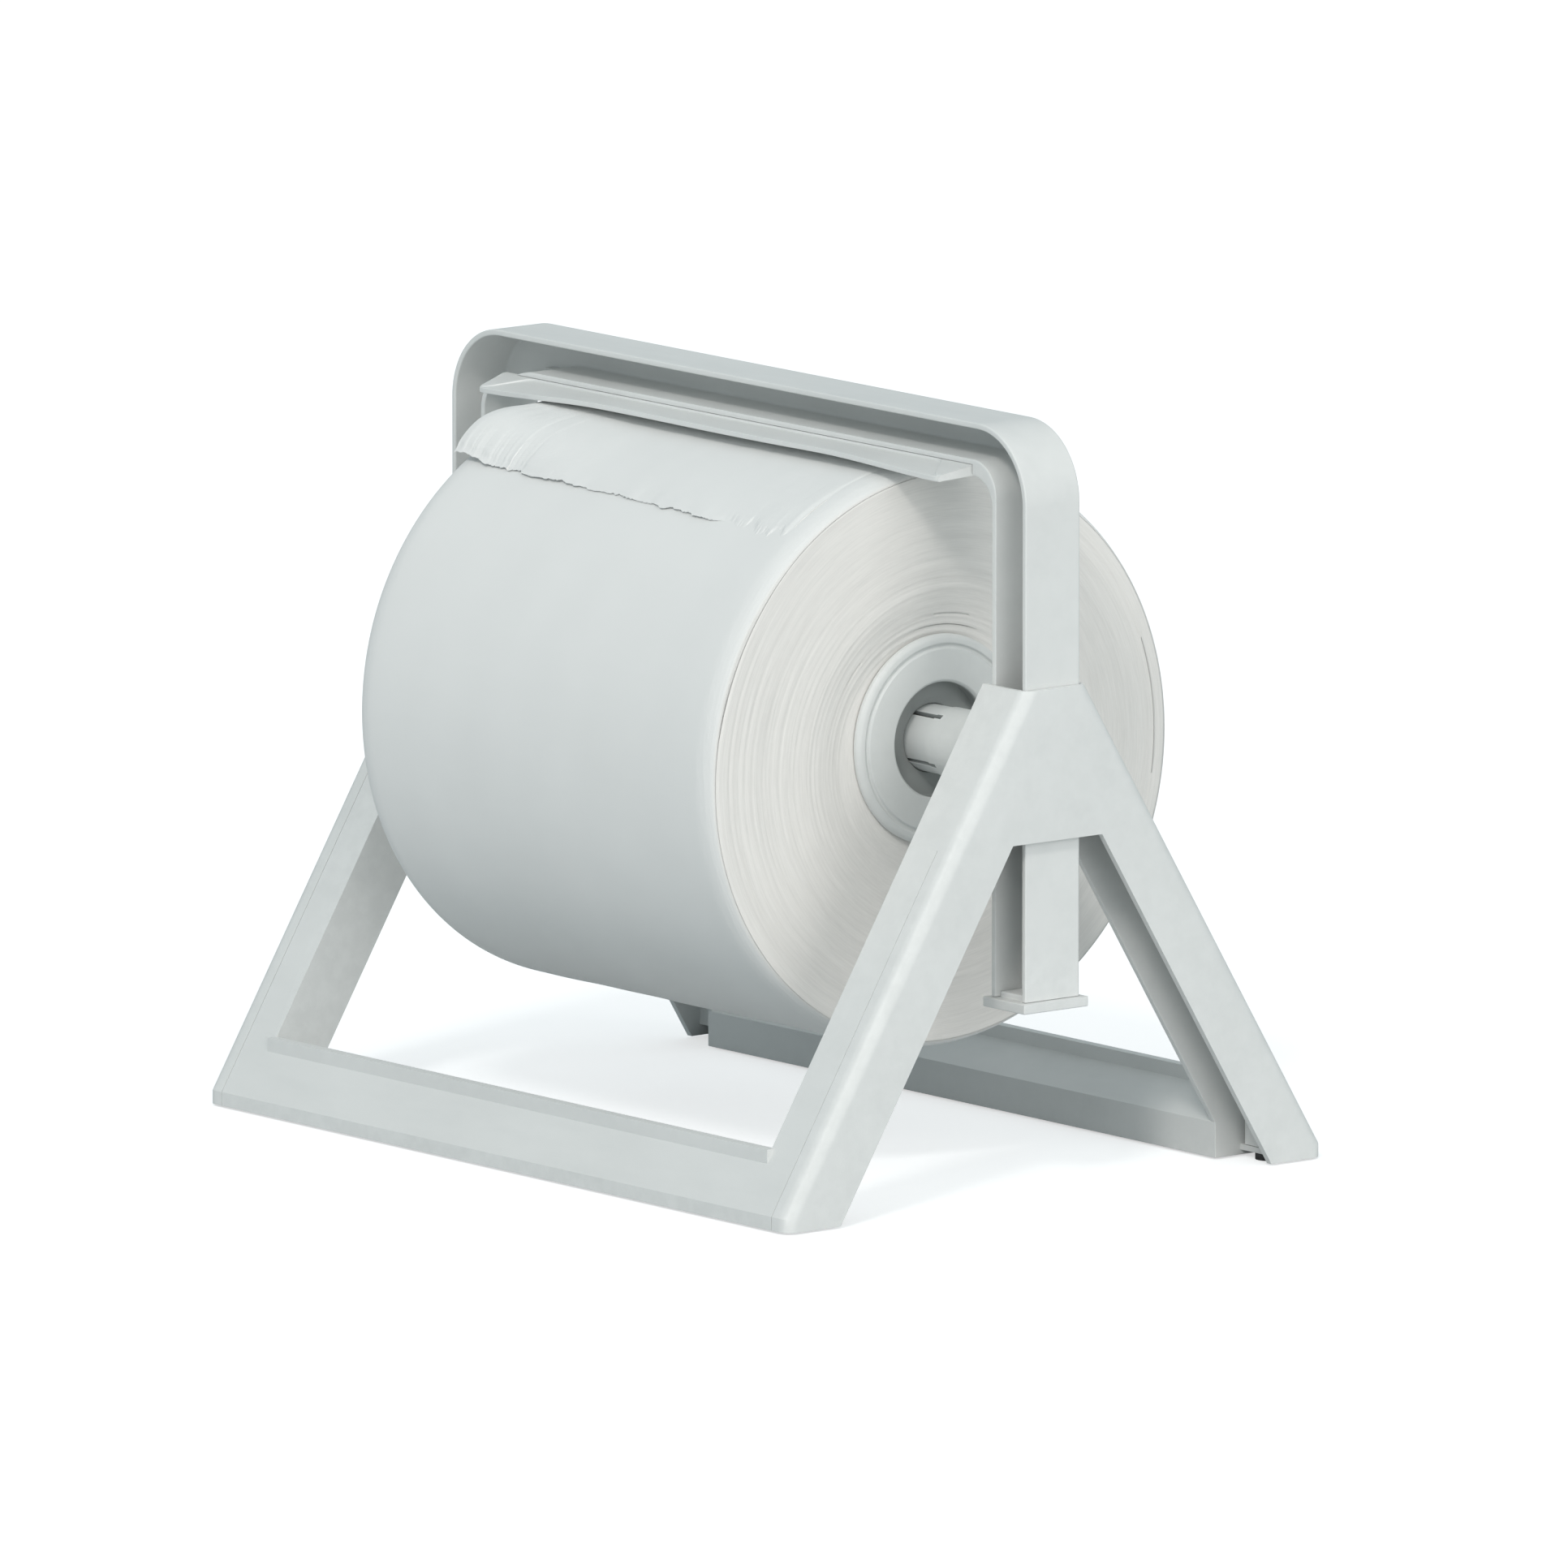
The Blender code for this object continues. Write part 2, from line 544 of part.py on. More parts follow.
def tear_shelf():
    """The blade: a plate that droops to its front tear edge, with a lip and a rib that fill the seat."""
    front_y = -HOOP_HALF_DEPTH - SHELF_REACH
    back_y = HOOP_HALF_DEPTH - HOOP_WALL - GAP
    half = SHELF_LENGTH / 2
    seat_half = HOOP_INNER_X - SHELF_END_INSET - GAP
    mouth_y = -HOOP_HALF_DEPTH
    radius = SHELF_CORNER_RADIUS
    corner = arc((half - radius, front_y + radius), radius, -90, 0, SMALL_CORNER_STEPS)
    outline = corner + [(half, mouth_y), (seat_half, mouth_y), (seat_half, back_y)]
    outline = [(-x, y) for x, y in outline[::-1]] + outline
    top = HOOP_INNER_TOP
    low = top - SHELF_THICKNESS
    high = HOOP_SEAT_TOP - GAP
    lip_y = mouth_y + SHELF_LIP_THICKNESS
    rib_y = back_y - SHELF_RIB_THICKNESS
    section = [
        (back_y, low), (back_y, high), (rib_y, high), (rib_y, top), (lip_y, top), (lip_y, high),
        (mouth_y, high), (mouth_y, top), (front_y, top - SHELF_DROOP),
        (front_y, low - SHELF_DROOP), (mouth_y, low),
    ]
    plate = prism(section, -seat_half - OVERRUN, seat_half + OVERRUN, "X")
    shelf = place("tear_shelf", plate, white_plastic())
    around = place("tear_shelf_outline", prism(outline, top - HOOP_LEG_WIDTH, HOOP_TOP, "Z"))
    boolean(shelf, around, "INTERSECT")
    for k in (-1, 0, 1):
        spot = (k * SHELF_SCREW_SPACING, 0, shelf_screw_height())
        hole_y = back_y - SHELF_SCREW_GRIP
        hole = rod(SHELF_SCREW_RADIUS + GAP, hole_y, back_y + OVERRUN, SCREW_SIDES, "Y", spot)
        cut(shelf, f"hole_{k + 1}", hole)


def shelf_screws():
    """Three small screws that come in from behind the hoop."""
    tip_y = HOOP_HALF_DEPTH - HOOP_WALL - SHELF_SCREW_GRIP + GAP
    head_y = HOOP_HALF_DEPTH + GAP
    end_y = head_y + SHELF_SCREW_HEAD_HEIGHT
    screw = [(tip_y, 0), (tip_y, SHELF_SCREW_RADIUS), (head_y, SHELF_SCREW_RADIUS),
             (head_y, SHELF_SCREW_HEAD_RADIUS), (end_y, SHELF_SCREW_HEAD_RADIUS), (end_y, 0)]
    backward = Matrix.Rotation(math.pi / 2, 4, "Z")
    for k, where in ((-1, "left"), (0, "middle"), (1, "right")):
        spot = (k * SHELF_SCREW_SPACING, 0, shelf_screw_height())
        place(f"shelf_screw_{where}", turned(screw, SCREW_SIDES, backward), steel(), spot, smooth=True)


def leg_cap(name, side):
    """End cap of a hoop leg: a plug in the channel and a plate whose lip stops the lift."""
    plate_top = LEG_END_HEIGHT - GAP
    low_z = plate_top - CAP_PLATE_HEIGHT
    plate = box((HOOP_INNER_X - CAP_LIP, -HOOP_HALF_DEPTH - CAP_LIP, low_z),
                (HOOP_HALF_WIDTH + CAP_LIP, HOOP_HALF_DEPTH + CAP_LIP, plate_top))
    cap = place(name, mirrored(plate, side), white_plastic())
    inset = HOOP_WALL + GAP
    plug = box((HOOP_INNER_X + inset, -HOOP_HALF_DEPTH + HOOP_WALL, plate_top - GAP),
               (HOOP_HALF_WIDTH - inset, HOOP_HALF_DEPTH - inset, plate_top + CAP_PLUG_HEIGHT))
    join(cap, "plug", mirrored(plug, side))


def spindle(name, side):
    """Split tube on a leg, with a neck, a snap bead behind the hub's web and a rounded nose."""
    base_x = HOOP_INNER_X - GAP
    bead_x = SPINDLE_SNAP_X - SPINDLE_SNAP_WIDTH
    nose_x = bead_x - SPINDLE_NOSE_LENGTH
    neck_x = SPINDLE_SNAP_X + SPINDLE_NECK_LENGTH
    bore = SPINDLE_NECK_RADIUS - SPINDLE_WALL
    screw_bore = SPINDLE_SCREW_RADIUS + GAP
    profile = [
        (base_x, screw_bore),
        (base_x, SPINDLE_RADIUS),
        (neck_x, SPINDLE_RADIUS),
        (neck_x - (SPINDLE_RADIUS - SPINDLE_NECK_RADIUS), SPINDLE_NECK_RADIUS),
        (SPINDLE_SNAP_X, SPINDLE_NECK_RADIUS),
        (SPINDLE_SNAP_X, SPINDLE_SNAP_RADIUS),
        (bead_x, SPINDLE_SNAP_RADIUS),
        (nose_x + SPINDLE_NOSE_LENGTH / 3, (SPINDLE_SNAP_RADIUS + SPINDLE_NOSE_RADIUS) / 2),
        (nose_x, SPINDLE_NOSE_RADIUS),
        (nose_x, bore),
        (base_x - SPINDLE_BASE_THICKNESS, bore),
        (base_x - SPINDLE_BASE_THICKNESS, screw_bore),
    ]
    made = place(name, mirrored(turned(profile, ROUND_SIDES), side), white_plastic(),
                 (0, 0, SPINDLE_HEIGHT), smooth=True)
    half = SPINDLE_SLOT_WIDTH / 2
    reach = SPINDLE_SNAP_RADIUS + OVERRUN
    for number in range(2):
        slot_end = nose_x + SPINDLE_SLOT_LENGTH
        slot = box((nose_x - OVERRUN, -half, -reach), (slot_end, half, reach))
        turn = Matrix.Rotation(SPINDLE_SLOT_TURN + number * math.pi / 2, 4, "X")
        raised = Matrix.Translation((0, 0, SPINDLE_HEIGHT)) @ turn
        bmesh.ops.transform(slot, matrix=raised, verts=slot.verts)
        cut(made, f"slot_{number + 1}", mirrored(slot, side))


def spindle_screw(name, side):
    """The screw in a leg's channel that holds its spindle."""
    head_x = HOOP_INNER_X + HOOP_WALL + GAP
    tip_x = head_x - SPINDLE_SCREW_LENGTH
    end_x = head_x + SPINDLE_SCREW_HEAD_HEIGHT
    screw = [(tip_x, 0), (tip_x, SPINDLE_SCREW_RADIUS), (head_x, SPINDLE_SCREW_RADIUS),
             (head_x, SPINDLE_SCREW_HEAD_RADIUS), (end_x, SPINDLE_SCREW_HEAD_RADIUS), (end_x, 0)]
    place(name, mirrored(turned(screw, SCREW_SIDES), side), steel(), (0, 0, SPINDLE_HEIGHT), smooth=True)


def hub(name, side):
    """Flanged plug: rim and face outside, a recess with a web that turns on the spindle's neck."""
    sleeve_end = HUB_SEAT_X - HUB_SLEEVE_LENGTH
    bore = SPINDLE_NECK_RADIUS + GAP
    rim = HUB_FLANGE_RADIUS - HUB_RIM_WIDTH
    inner = HUB_SLEEVE_RADIUS - HUB_SLEEVE_WALL
    profile = [
        (HUB_WEB_INNER_X, bore),
        (HUB_WEB_OUTER_X, bore),
        (HUB_WEB_OUTER_X, HUB_HOLE_RADIUS - HUB_RIM_STEP),
        (HUB_FACE_X - HUB_RIM_STEP, HUB_HOLE_RADIUS - HUB_RIM_STEP),
        (HUB_FACE_X, HUB_HOLE_RADIUS),
        (HUB_FACE_X, rim - 2 * HUB_RIM_STEP),
        (HUB_FACE_X - HUB_RIM_STEP, rim - HUB_RIM_STEP),
        (HUB_FACE_X - HUB_RIM_STEP, rim),
        (HUB_FACE_X, rim),
        (HUB_FACE_X - HUB_RIM_STEP / 2, HUB_FLANGE_RADIUS - HUB_RIM_STEP),
        (HUB_FACE_X - 2 * HUB_RIM_STEP, HUB_FLANGE_RADIUS),
        (HUB_SEAT_X + GAP, HUB_FLANGE_RADIUS),
        (HUB_SEAT_X + GAP, HUB_SLEEVE_RADIUS),
        (sleeve_end, HUB_SLEEVE_RADIUS),
        (sleeve_end, inner),
        (HUB_WEB_INNER_X, inner),
    ]
    made = mirrored(turned(profile, ROUND_SIDES), side)
    place(name, made, white_plastic(), (0, 0, SPINDLE_HEIGHT), smooth=True)


def roll_core():
    end = HUB_SEAT_X - CORE_SETBACK
    outer = CORE_INNER_RADIUS + CORE_WALL
    profile = [(-end, CORE_INNER_RADIUS), (-end, outer), (end, outer), (end, CORE_INNER_RADIUS)]
    place("roll_core", turned(profile, ROUND_SIDES), cardboard(), (0, 0, ROLL_HEIGHT), smooth=True)


def paper_roll():
    """The wound paper: soft shoulders at both ends, and a shallow dish where each hub presses in."""
    inner = CORE_INNER_RADIUS + CORE_WALL + GAP
    right = [(HUB_SEAT_X, inner), (HUB_SEAT_X, HUB_SEAT_RADIUS), (ROLL_END_X, ROLL_DISH_RADIUS)]
    for k in range(SHOULDER_STEPS + 1):
        turn = math.pi / 2 * k / SHOULDER_STEPS
        along = ROLL_END_X - ROLL_SHOULDER_LENGTH * (1 - math.cos(turn))
        right.append((along, ROLL_RADIUS - ROLL_SHOULDER_DEPTH * (1 - math.sin(turn))))
    left = [(-x, r) for x, r in right]
    profile = left + right[::-1]
    place("paper_roll", turned(profile, ROLL_SIDES), paper(), (0, 0, ROLL_HEIGHT), smooth=True)


def tear_line(share):
    """How far the torn edge wanders, as a share of its depth, along the width of the sheet."""
    waves = zip(TEAR_WAVE_COUNTS, TEAR_WAVE_SHARES)
    return sum(part * math.sin(2 * math.pi * count * share + count) for count, part in waves)


def loose_sheet():
    """The last turn of paper, lying on the roll from its torn front edge over to the back."""
    bm = bmesh.new()
    half = ROLL_END_X - SHEET_END_INSET
    low = ROLL_RADIUS + GAP
    layers = []
    for radius in (low, low + SHEET_THICKNESS):
        rows = []
        for across in range(SHEET_ACROSS + 1):
            share = across / SHEET_ACROSS
            x = -half + 2 * half * share
            torn = SHEET_TORN_ANGLE + tear_line(share) * SHEET_TEAR_DEPTH / ROLL_RADIUS
            row = []
            for k in range(SHEET_STEPS + 1):
                angle = SHEET_FAR_ANGLE + (torn - SHEET_FAR_ANGLE) * k / SHEET_STEPS
                row.append(bm.verts.new((x, radius * math.cos(angle), radius * math.sin(angle))))
            rows.append(row)
        layers.append(rows)
    inside, outside = layers
    for a in range(SHEET_ACROSS):
        for k in range(SHEET_STEPS):
            for rows in layers:
                bm.faces.new((rows[a][k], rows[a + 1][k], rows[a + 1][k + 1], rows[a][k + 1]))
        for k in (0, SHEET_STEPS):
            bm.faces.new((inside[a][k], inside[a + 1][k], outside[a + 1][k], outside[a][k]))
    for k in range(SHEET_STEPS):
        for a in (0, SHEET_ACROSS):
            bm.faces.new((inside[a][k], inside[a][k + 1], outside[a][k + 1], outside[a][k]))
    place("loose_sheet", bm, paper(), (0, 0, ROLL_HEIGHT), smooth=True)


def main():
    clear_scene()
    for end, where in ENDS:
        end_frame(f"{where}_frame", end)
    feet()
    hoop_frame()
    tear_shelf()
    shelf_screws()
    for side, hand in SIDES:
        side_frame(f"{hand}_side_frame", side)
        leg_cap(f"{hand}_leg_cap", side)
        spindle(f"{hand}_spindle", side)
        spindle_screw(f"{hand}_spindle_screw", side)
        hub(f"{hand}_hub", side)
    roll_core()
    paper_roll()
    loose_sheet()


main()
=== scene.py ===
"""Looks of the bench roll dispenser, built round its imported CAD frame.

Everything is in metres in the CAD's frame: X along the roll axis, Y to the back, Z up.
"""
import math

import bmesh
import bpy
import numpy as np
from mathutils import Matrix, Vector


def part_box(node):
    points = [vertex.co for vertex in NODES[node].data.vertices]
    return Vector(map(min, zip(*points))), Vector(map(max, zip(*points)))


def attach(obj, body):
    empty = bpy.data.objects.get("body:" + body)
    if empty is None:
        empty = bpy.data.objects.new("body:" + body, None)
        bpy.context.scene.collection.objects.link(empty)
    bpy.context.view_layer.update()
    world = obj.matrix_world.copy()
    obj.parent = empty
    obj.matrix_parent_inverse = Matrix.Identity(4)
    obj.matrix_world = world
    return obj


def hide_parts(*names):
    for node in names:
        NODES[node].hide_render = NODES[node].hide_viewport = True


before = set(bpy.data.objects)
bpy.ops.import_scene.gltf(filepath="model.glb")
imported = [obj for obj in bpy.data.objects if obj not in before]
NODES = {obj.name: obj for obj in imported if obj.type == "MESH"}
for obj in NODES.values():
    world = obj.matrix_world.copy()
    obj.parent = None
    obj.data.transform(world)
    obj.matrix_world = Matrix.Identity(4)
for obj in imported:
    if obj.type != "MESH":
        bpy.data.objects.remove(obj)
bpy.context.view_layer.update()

MM = 0.001
SIDES = ((-1, "left"), (1, "right"))
AXIS_X = Vector((1, 0, 0))
AXIS_Y = Vector((0, 1, 0))

# Places read from the frame
ROLL_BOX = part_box("paper_roll")
ROLL_HALF = ROLL_BOX[1].x
ROLL_RADIUS = ROLL_BOX[1].y
ROLL_Z = (ROLL_BOX[0].z + ROLL_BOX[1].z) / 2
CORE_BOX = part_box("roll_core")
CORE_END = CORE_BOX[1].x
CORE_OUTER = CORE_BOX[1].y
HUB_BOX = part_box("right_hub")
HUB_RADIUS = HUB_BOX[1].y
HUB_FACE = HUB_BOX[1].x
HUB_SLEEVE_END = HUB_BOX[0].x
HOOP_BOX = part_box("hoop_frame")
HOOP_HALF_WIDTH = HOOP_BOX[1].x
HOOP_HALF_DEPTH = HOOP_BOX[1].y
HOOP_BOTTOM = HOOP_BOX[0].z
HOOP_TOP = HOOP_BOX[1].z
SHELF_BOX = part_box("tear_shelf")
SHELF_FRONT = SHELF_BOX[0].y
SHELF_BACK = SHELF_BOX[1].y
SHELF_BODY_HALF = SHELF_BOX[1].x

# Height of the spindles' axis, and radius of the hub's recess, which the materials also need
SPINDLE_Z = 216.0 * MM
RECESS_RADIUS = 28.8 * MM


# Materials
class Tree:
    """A short way to write a material's nodes."""

    def __init__(self, name):
        self.material = bpy.data.materials.new(name)
        self.material.use_nodes = True
        self.tree = self.material.node_tree
        self.shader = self.tree.nodes["Principled BSDF"]
        self.coords = self.tree.nodes.new("ShaderNodeTexCoord").outputs["Object"]

    def link(self, value, socket):
        if isinstance(value, bpy.types.NodeSocket):
            self.tree.links.new(value, socket)
        elif hasattr(socket.default_value, "__len__") and not hasattr(value, "__len__"):
            socket.default_value = [value] * len(socket.default_value)
        else:
            socket.default_value = value

    def node(self, kind, inputs=(), output=0, **settings):
        made = self.tree.nodes.new(kind)
        for key, value in settings.items():
            setattr(made, key, value)
        for key, value in dict(inputs).items():
            self.link(value, made.inputs[key])
        return made.outputs[output]

    def math(self, operation, a, b=0.0, c=0.0):
        return self.node("ShaderNodeMath", {0: a, 1: b, 2: c}, operation=operation)

    def length(self, a, b):
        squares = self.math("ADD", self.math("MULTIPLY", a, a), self.math("MULTIPLY", b, b))
        return self.math("SQRT", squares)

    def remap(self, value, low, high, to_low=0.0, to_high=1.0):
        limits = {"From Min": low, "From Max": high, "To Min": to_low, "To Max": to_high}
        return self.node("ShaderNodeMapRange", {"Value": value, **limits})

    def noise(self, scale, detail=2.0, roughness=0.5, vector=None):
        settings = {"Scale": scale, "Detail": detail, "Roughness": roughness}
        return self.node("ShaderNodeTexNoise", {"Vector": vector or self.coords, **settings})

    def stretched(self, scales, vector=None):
        return self.node("ShaderNodeMapping", {"Vector": vector or self.coords, "Scale": scales})

    def mix(self, factor, a, b):
        made = self.tree.nodes.new("ShaderNodeMix")
        made.data_type = "RGBA"
        self.link(factor, made.inputs["Factor"])
        colour_inputs = [s for s in made.inputs if s.type == "RGBA"]
        self.link(a, colour_inputs[0])
        self.link(b, colour_inputs[1])
        return [s for s in made.outputs if s.type == "RGBA"][0]

    def mix_vectors(self, factor, a, b):
        made = self.tree.nodes.new("ShaderNodeMix")
        made.data_type = "VECTOR"
        self.link(factor, made.inputs["Factor"])
        vector_inputs = [s for s in made.inputs if s.type == "VECTOR"]
        self.link(a, vector_inputs[0])
        self.link(b, vector_inputs[1])
        return made.outputs[1]

    def bump(self, height, strength, distance, normal=None):
        settings = {"Height": height, "Strength": strength, "Distance": distance}
        if normal:
            settings["Normal"] = normal
        return self.node("ShaderNodeBump", settings)

    def separate(self, vector=None):
        made = self.tree.nodes.new("ShaderNodeSeparateXYZ")
        self.link(vector or self.coords, made.inputs[0])
        return made.outputs

    def combine(self, x, y, z):
        return self.node("ShaderNodeCombineXYZ", {0: x, 1: y, 2: z})

    def set(self, **values):
        for key, value in values.items():
            self.link(value, self.shader.inputs[key.replace("_", " ")])
        return self.material


def rgba(r, g, b):
    return (r, g, b, 1.0)


def shade(colour, factor, most=1.0):
    """A colour made darker or lighter, with no channel above the most."""
    return rgba(*[min(c * factor, most) for c in colour])


# Plastic: texture scales per metre, and the pointiness from which an edge is worn or a hollow made darker
PLASTIC_CLOUDS = 9.0
PLASTIC_STREAKS = (14.0, 60.0, 60.0)
PLASTIC_WEAR = 120.0
PLASTIC_CREASE_DARKENING = 45.0
PLASTIC_GRAIN = 1500.0
PLASTIC_WAVES = 70.0
WORN_POINTINESS = (0.51, 0.56)
# Pointiness limits of the worn edges and of the darker tone in concave creases, and how strong both marks
# are
CREASE_DARKENING_POINTINESS = (0.485, 0.44)
EDGE_AND_CREASE_MARK_STRENGTH = 0.35
# Painted shade for the inside of the hub's recess: its dark grey colour and how strongly it covers the tone
RECESS_PAINTED_SHADE = rgba(0.20, 0.215, 0.21)
RECESS_SHADE_STRENGTH = 0.75
# How far past the recess's radius the painted shade starts, how far inside it is full, and its fade in depth
RECESS_SHADE_START = 0.4 * MM
RECESS_SHADE_FULL = 0.6 * MM
RECESS_SHADE_FADE = 3.0 * MM


def plastic(name, colour, dull, seed, recess=None):
    """Satin moulded plastic: faint cloudy tone, worn edges, a darker tone in concave hollows, fine grain.

    The recess, as (height of its axis, radius, depth along X), gets painted shade: a dark grey tone that
    stands in for the shadow deep inside it.
    """
    t = Tree(name)
    shifted = t.node("ShaderNodeMapping", {"Vector": t.coords, "Location": (seed, seed, seed)})
    edge = t.node("ShaderNodeNewGeometry", output="Pointiness")

    def patches(pointiness, scale, low, high):
        """Strength of marks where the pointiness and a noise both pass their limits."""
        spots = t.remap(t.noise(scale, 3.0, 0.6, shifted), low, high)
        marks = t.math("MULTIPLY", t.remap(edge, *pointiness), spots)
        return t.math("MULTIPLY", marks, EDGE_AND_CREASE_MARK_STRENGTH)

    clouds = t.noise(PLASTIC_CLOUDS, 4.0, 0.55, shifted)
    streaks = t.noise(1.0, 3.0, 0.6, t.stretched(PLASTIC_STREAKS, shifted))
    tone = t.mix(t.remap(clouds, 0.3, 0.7), shade(colour, 0.965), shade(colour, 1.02))
    tone = t.mix(t.remap(streaks, 0.45, 0.8, 0.0, 0.25), tone, rgba(*dull))
    tone = t.mix(patches(WORN_POINTINESS, PLASTIC_WEAR, 0.4, 0.65), tone, shade(colour, 1.13, 0.95))
    # Darker dull tone in patches where the surface is concave, in creases and hollows
    tone = t.mix(patches(CREASE_DARKENING_POINTINESS, PLASTIC_CREASE_DARKENING, 0.35, 0.7), tone, rgba(*dull))
    # Painted shade in the recess: the tone turns dark grey inside its radius and towards its floor
    if recess:
        axis_z, reach, depth = recess
        x, y, z = t.separate()
        out = t.length(y, t.math("SUBTRACT", z, axis_z))
        in_radius = t.remap(out, reach + RECESS_SHADE_START, reach - RECESS_SHADE_FULL)
        in_depth = t.remap(t.math("ABSOLUTE", x), depth, depth - RECESS_SHADE_FADE)
        inside = t.math("MULTIPLY", in_radius, in_depth)
        tone = t.mix(t.math("MULTIPLY", inside, RECESS_SHADE_STRENGTH), tone, RECESS_PAINTED_SHADE)
    grain = t.noise(PLASTIC_GRAIN, 2.0, 0.5, shifted)
    waves = t.noise(PLASTIC_WAVES, 2.0, 0.5, shifted)
    rough = t.math("ADD", t.remap(grain, 0.3, 0.7, 0.40, 0.50), t.remap(clouds, 0.3, 0.7, -0.05, 0.07))
    normal = t.bump(grain, 0.30, 0.12 * MM, t.bump(waves, 0.12, 0.6 * MM))
    return t.set(Base_Color=tone, Roughness=rough, Normal=normal, IOR=1.47)


# Paper: how close its marks are, as (per metre outward or along the roll, per radian round)
FINE_LAYERS = (1150.0, 5.0)
BROAD_LAYERS = (170.0, 1.2)
CREPE = (900.0, 110.0)
LAYER_WANDER = 0.9 * MM
LAYER_WANDER_SCALE = 6.0
PAPER_CLOUDS = 16.0
PAPER_FIBRE = 2600.0
# How far a face must turn towards X to start to look cut, and to look all cut
CUT_NORMAL = (0.55, 0.9)


def paper_material(name, flat, warm, axis_z):
    """Wiping paper: soft crepe on the wound face, fine concentric layers on the cut ends."""
    t = Tree(name)
    x, y, z = t.separate()
    rise = t.math("SUBTRACT", z, axis_z)
    around = t.math("ARCTAN2", y, rise)
    wander = t.remap(t.noise(LAYER_WANDER_SCALE, 2.0, 0.5), 0.2, 0.8, -LAYER_WANDER, LAYER_WANDER)
    radius = t.math("ADD", t.length(y, rise), wander)

    def marks(along, scales, shift, detail, roughness):
        """Noise drawn out round the axis."""
        place = t.combine(t.math("MULTIPLY", along, scales[0]), t.math("MULTIPLY", around, scales[1]), shift)
        return t.noise(1.0, detail, roughness, place)

    fine = marks(radius, FINE_LAYERS, 0.0, 3.0, 0.7)
    broad = marks(radius, BROAD_LAYERS, 4.0, 2.0, 0.5)
    layers = t.math("ADD", t.math("MULTIPLY", fine, 0.6), t.math("MULTIPLY", broad, 0.4))
    crepe = marks(x, CREPE, 0.0, 3.0, 0.6)
    fibre = t.noise(PAPER_FIBRE, 3.0, 0.65)
    cloud = t.noise(PAPER_CLOUDS, 3.0, 0.5)
    normal_x = t.separate(t.node("ShaderNodeNewGeometry", output="Normal"))[0]
    cut = t.remap(t.math("ABSOLUTE", normal_x), *CUT_NORMAL)
    face_tone = t.mix(t.remap(cloud, 0.3, 0.7), shade(flat, 0.975), rgba(*flat))
    end_tone = t.mix(t.remap(layers, 0.35, 0.62), shade(warm, 0.90), rgba(*warm))
    tone = t.mix(cut, face_tone, end_tone)
    tone = t.mix(t.remap(fibre, 0.62, 0.80, 0.0, 0.25), tone, shade(warm, 0.80))
    normal = t.mix_vectors(cut, t.bump(crepe, 0.35, 0.4 * MM), t.bump(layers, 0.55, 0.9 * MM))
    normal = t.bump(fibre, 0.25, 0.25 * MM, normal)
    return t.set(Base_Color=tone, Roughness=0.93, Normal=normal, Sheen_Weight=0.12, Sheen_Roughness=0.6)


def cardboard_material():
    """Brown board with slow bands and fine fibre."""
    t = Tree("core_board")
    x, y, z = t.separate()
    slanted = t.math("ADD", t.math("MULTIPLY", x, 26.0), t.math("ARCTAN2", y, z))
    bands = t.noise(1.0, 2.0, 0.5, t.combine(slanted, 0.0, 0.0))
    fibre = t.noise(700.0, 4.0, 0.65)
    tone = t.mix(t.remap(bands, 0.3, 0.7), rgba(0.36, 0.28, 0.19), rgba(0.47, 0.38, 0.27))
    tone = t.mix(t.remap(fibre, 0.5, 0.8, 0.0, 0.5), tone, rgba(0.26, 0.20, 0.14))
    return t.set(Base_Color=tone, Roughness=0.88, Normal=t.bump(fibre, 0.4, 0.3 * MM))


def steel_material():
    """Zinc-plated steel, brushed along X, with dull spots."""
    t = Tree("zinc_steel")
    brushed = t.noise(1.0, 3.0, 0.6, t.stretched((300.0, 2500.0, 2500.0)))
    spots = t.noise(380.0, 3.0, 0.6)
    tone = t.mix(t.remap(spots, 0.4, 0.7), rgba(0.60, 0.61, 0.62), rgba(0.46, 0.46, 0.45))
    rough = t.remap(brushed, 0.2, 0.8, 0.24, 0.42)
    return t.set(Base_Color=tone, Metallic=1.0, Roughness=rough, Normal=t.bump(brushed, 0.15, 0.1 * MM))


def rubber_material():
    """Matt black rubber with grey dust."""
    t = Tree("foot_rubber")
    grain = t.noise(1400.0, 3.0, 0.6)
    dust = t.noise(160.0, 3.0, 0.6)
    tone = t.mix(t.remap(dust, 0.45, 0.8, 0.0, 0.6), rgba(0.028, 0.028, 0.029), rgba(0.10, 0.10, 0.098))
    rough = t.remap(grain, 0.3, 0.7, 0.62, 0.85)
    return t.set(Base_Color=tone, Roughness=rough, Normal=t.bump(grain, 0.4, 0.2 * MM))


INNER_WHITE = (0.70, 0.715, 0.705)
INNER_DULL = (0.55, 0.57, 0.56)
# Where the painted recess shade goes on the hubs: axis height, radius and depth along X
HUB_RECESS_SHADE = (SPINDLE_Z, RECESS_RADIUS + 0.6 * MM, HUB_FACE - 0.6 * MM)
STAND_PLASTIC = plastic("stand_plastic", (0.735, 0.745, 0.735), (0.60, 0.62, 0.61), 0.0)
HOOP_PLASTIC = plastic("hoop_plastic", (0.745, 0.755, 0.745), (0.61, 0.63, 0.62), 3.7)
HUB_PLASTIC = plastic("hub_plastic", INNER_WHITE, INNER_DULL, 8.1, HUB_RECESS_SHADE)
SPINDLE_PLASTIC = plastic("spindle_plastic", INNER_WHITE, INNER_DULL, 5.3)
PAPER = paper_material("wound_paper", (0.80, 0.805, 0.795), (0.835, 0.815, 0.785), ROLL_Z)
CORE_BOARD = cardboard_material()
STEEL = steel_material()
RUBBER = rubber_material()


